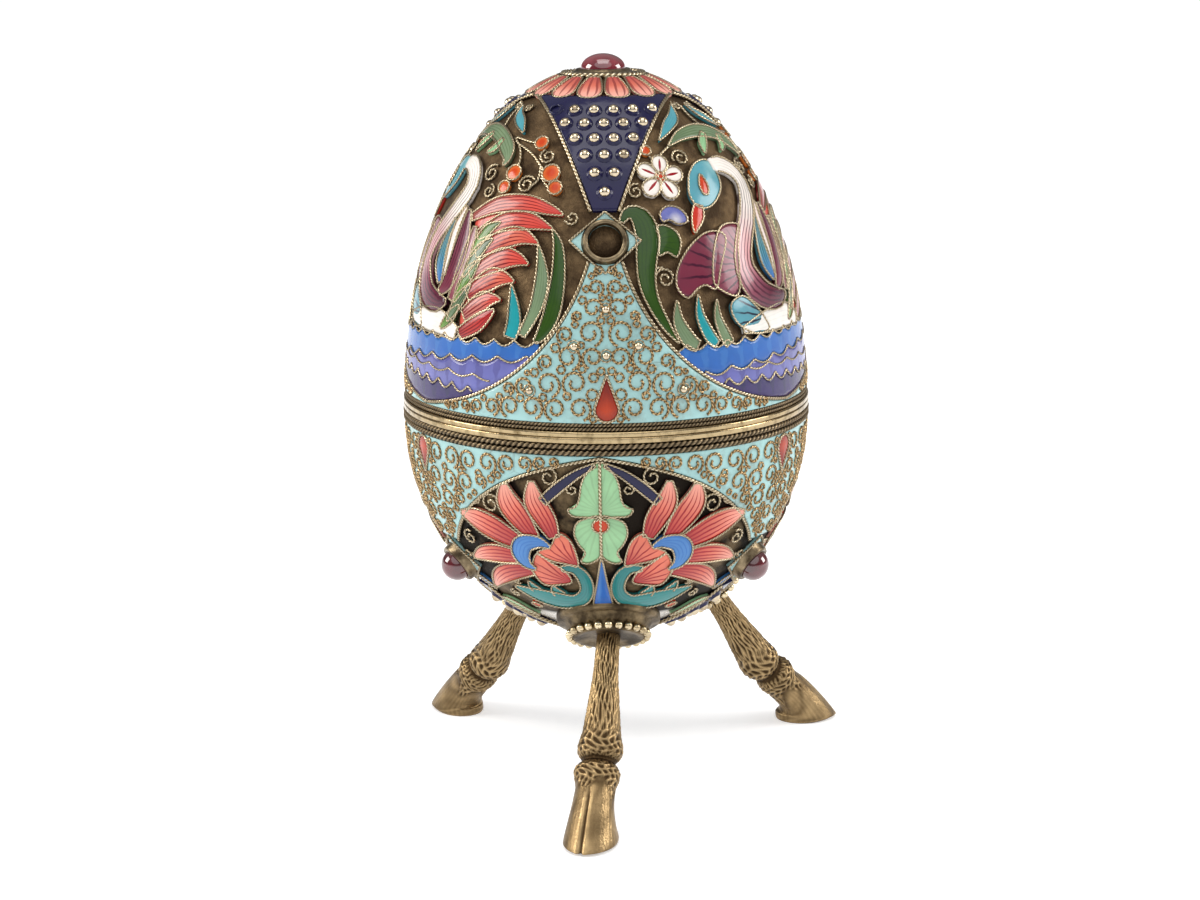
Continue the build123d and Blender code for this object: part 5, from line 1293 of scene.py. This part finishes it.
def legSurface(rows, seed):
    # oval sections along the spine; sine waves of row and azimuth give fur, curls, cleft and hoof lines as offsets
    c = curve(rows, legs["rows"])
    c[-1] = rows[-1]
    last = len(rows) - 1
    s = np.linspace(0, last, legs["rows"])[:, None]
    a = np.linspace(0, turn, legs["cols"], endpoint=False)[None, :]
    ph = np.random.default_rng(seed).uniform(0, turn, 8)
    swayA = 1.2 * np.sin(2.3 * s + 2 * np.sin(a + ph[0])) + 0.9 * np.sin(4.6 * s + 3 * a + ph[1])
    swayB = 1.3 * np.sin(3.4 * s - 2 * a + ph[2]) + 0.8 * np.sin(7.4 * s + 5 * a + ph[3])
    net = 1 - np.minimum(np.abs(np.sin(13 * a + swayA)), np.abs(np.sin(11 * a - swayB + 0.8 * s)))
    knotA, knotB = 8 * a + 1.5 * np.sin(5 * s + ph[4]), 8 * s + 2 * np.sin(3 * a + ph[5])
    knots = 1 - np.abs(np.sin(knotA)) * np.abs(np.sin(knotB))
    curly = hump(s - 4.7, 0.75) + hump(s - 7.45, 0.75)
    hair = ramp(8.45 + 0.5 * np.sin(4 * a + ph[6]) - s, 2.5) * (1 - 0.7 * hump(s - 6.0, 0.3))
    fur = hair * ((1 - curly) * net ** 1.4 + curly * knots ** 2)
    onHoof = ramp(s - 8.0, 2)
    apart = np.minimum(a, turn - a)
    split = ramp(s - 8.3, 1.5) * ramp(last - s, 3)
    cleft = hump(apart, 0.05) * split
    ridge = hump(apart - 0.17, 0.08) * split
    lines = onHoof * (0.5 + 0.5 * np.sin(34 * a + 0.6 * np.sin(3 * s))) * (0.6 + 0.4 * np.sin(5 * a + ph[7]))
    groove = hump(s - 6.0, 0.26)
    blotch = 0.5 + 0.5 * np.sin(2.1 * s + 3 * np.sin(2 * a + ph[3]) + 2 * np.sin(3.1 * s - 3 * a + ph[5]))
    off = legs["fur"] * (fur - 0.45 * hair) + legs["lines"] * lines + legs["ridge"] * ridge
    off = off - legs["cleft"] * cleft - legs["groove"] * groove
    off[-1] = np.minimum(off[-1], 0)
    cosA, sinA, off = np.cos(a)[..., None], np.sin(a)[..., None], off[..., None]
    grid = c[:, None, 0:3] + (c[:, None, 9:10] / 2 + off) * cosA * c[:, None, 3:6]
    grid = grid + (c[:, None, 10:11] / 2 + off) * sinA * c[:, None, 6:9]
    grid[..., 2] = np.maximum(grid[..., 2], 0.0)
    # brightness for the metal, kept as the lobe mark: lighter on raised fur and on the hoof's ridge, darker in the
    # cleft and in the groove above the hoof; partly patina in the hollows, partly painted shade there and painted
    # highlight on the raised parts
    plain = 0.25 + 0.2 * onHoof + 0.15 * lines + 0.25 * blotch + 0.35 * ridge
    rubbedAndLit = hair * np.clip(1.1 * fur + 0.1, 0, 1) + (1 - hair) * plain
    rubbedAndLit = (rubbedAndLit - 0.6 * cleft) * (1 - 0.85 * groove)
    return solid(grid, lobe=np.clip(rubbedAndLit, 0, 1)[..., None])


fall = np.linspace(0, np.pi, 8)
ball = spun(np.c_[beads["radius"] * np.sin(fall), -beads["radius"] * np.cos(fall)], 10)
beadRing = []
for a in np.arange(beads["count"]) * turn / beads["count"]:
    offset = [beads["ring"] * np.cos(a), beads["ring"] * np.sin(a), beads["height"]]
    beadRing.append({**ball, "co": ball["co"] + offset})
for k, (name, azimuth, radius, aside, beyond) in enumerate(legs["places"]):
    origin, down, up, level = legFrame(azimuth, radius)
    axes = np.stack([up, np.cross(down, up), down])
    leg = legSurface(legSpine(origin, down, up, level, aside, beyond), legs["seed"] + k)
    makePiece("hoofed_leg_" + name, "bowl", legBronze, [leg], ["leg_" + name])
    boss = settled(spun(collarProfile, 96), origin, axes)
    makePiece("leg_boss_" + name, "bowl", collarMetal, [boss], ["collar_" + name])
    ring = [settled(bead, origin, axes) for bead in beadRing]
    makePiece("boss_beads_" + name, "bowl", beadGilt, ring, ["bead_ring_" + name])
print("legs ready")

# the floor sheet, in metres; it glows a little, more so where the lamps don't reach
sheet = {"half": 30.0, "drop": -0.00002, "near": 0.1, "far": 1.6, "low": 0.38, "high": 0.56,
         "cloud": 9.0, "gloss": 60.0, "tones": ((0.79, 0.80, 0.82, 1), (0.815, 0.825, 0.845, 1))}
floorMat, tree, bsdf = fresh("studio floor")
tree.links.new(blend(tree, spots(tree, sheet["cloud"]), *sheet["tones"]), bsdf.inputs["Base Color"])
tree.links.new(between(tree, spots(tree, sheet["gloss"]), 0.3, 0.7, 0.7, 0.8), bsdf.inputs["Roughness"])
bsdf.inputs["Specular IOR Level"].default_value = 0.1
bsdf.inputs["Emission Color"].default_value = (1, 1, 1, 1)
away = add(tree, "ShaderNodeVectorMath", {"operation": "LENGTH"}, {0: place(tree)}).outputs["Value"]
sheetGlow = between(tree, away, sheet["near"], sheet["far"], sheet["low"], sheet["high"])
tree.links.new(sheetGlow, bsdf.inputs["Emission Strength"])
corners = [(x * sheet["half"], y * sheet["half"], 0) for x, y in ((-1, -1), (1, -1), (1, 1), (-1, 1))]
floorMesh = bpy.data.meshes.new("floor")
floorMesh.from_pydata(corners, [], [[0, 1, 2, 3]])
floorMesh.materials.append(floorMat)
floor = bpy.data.objects.new("floor", floorMesh)
floor.location.z = sheet["drop"]
scene.collection.objects.link(floor)

# the room: its tone from the horizon up to a height, then the pale sheet that goes on a little above the horizon
room = {"low": (0.10, 0.10, 0.105, 1), "high": (1, 1, 1, 1), "full": 0.75, "sheet": (2.5, 2.5, 2.5, 1),
        "sheetEnds": (0.05, 0.12), "strength": 0.4}
world = bpy.data.worlds.new("studio")
scene.world = world
world.use_nodes = True
sky = world.node_tree
backdrop = sky.nodes["Background"]
lookWay = add(sky, "ShaderNodeTexCoord").outputs["Generated"]
height = add(sky, "ShaderNodeSeparateXYZ", None, {0: lookWay}).outputs["Z"]
dome = blend(sky, between(sky, height, 0.0, room["full"]), room["low"], room["high"])
sweep = between(sky, height, *room["sheetEnds"], 1.0, 0.0)
sky.links.new(blend(sky, sweep, dome, room["sheet"]), backdrop.inputs["Color"])
backdrop.inputs["Strength"].default_value = room["strength"]

# each lamp: place, width, watts, colour; all look at the aim
lamps = {
    "key": ((-0.92, -0.04, 0.5), 0.5, 7.0, (1.0, 0.97, 0.92)),
    "fill": ((0.92, 0.0, 0.46), 0.45, 5.2, (1.0, 0.98, 0.95)),
    "top": ((0.0, -0.1, 0.95), 0.6, 2.6, (1.0, 0.98, 0.95)),
}
aim = np.array([0, 0, 0.05])
sun = {"strength": 1.1, "angle": 1.3, "tilt": 38}  # even light on the floor, near and far
daylight = bpy.data.lights.new("daylight", "SUN")
daylight.energy = sun["strength"]
daylight.angle = sun["angle"]
overhead = bpy.data.objects.new("daylight", daylight)
overhead.rotation_euler = (np.radians(sun["tilt"]), 0, 0)
scene.collection.objects.link(overhead)
for name, (spot, size, watts, colour) in lamps.items():
    lamp = bpy.data.lights.new(name, "AREA")
    lamp.shape = "SQUARE"
    lamp.size = size
    lamp.energy = watts
    lamp.color = colour
    holder = bpy.data.objects.new(name, lamp)
    z = unit(np.array(spot) - aim)
    x = unit(np.cross([0, 0, 1], z))
    axes = np.stack([x, np.cross(z, x), z], 1)
    holder.matrix_world = Matrix([[*row, t] for row, t in zip(axes, spot)] + [[0, 0, 0, 1]])
    scene.collection.objects.link(holder)

camera = {"place": (-0.00098, -0.3527, 0.1303), "pitch": 12.92, "roll": -0.55, "lens": 71.85, "sensor": 36.0,
          "clip": (0.01, 50.0)}
lens = bpy.data.cameras.new("camera")
lens.lens = camera["lens"]
lens.sensor_width = camera["sensor"]
lens.sensor_fit = "HORIZONTAL"
lens.clip_start, lens.clip_end = camera["clip"]
view = bpy.data.objects.new("camera", lens)
pitch = Matrix.Rotation(np.radians(90 - camera["pitch"]), 4, "X")
roll = Matrix.Rotation(np.radians(camera["roll"]), 4, "Z")
view.matrix_world = Matrix.Translation(camera["place"]) @ pitch @ roll
scene.collection.objects.link(view)
scene.camera = view
print("studio ready")
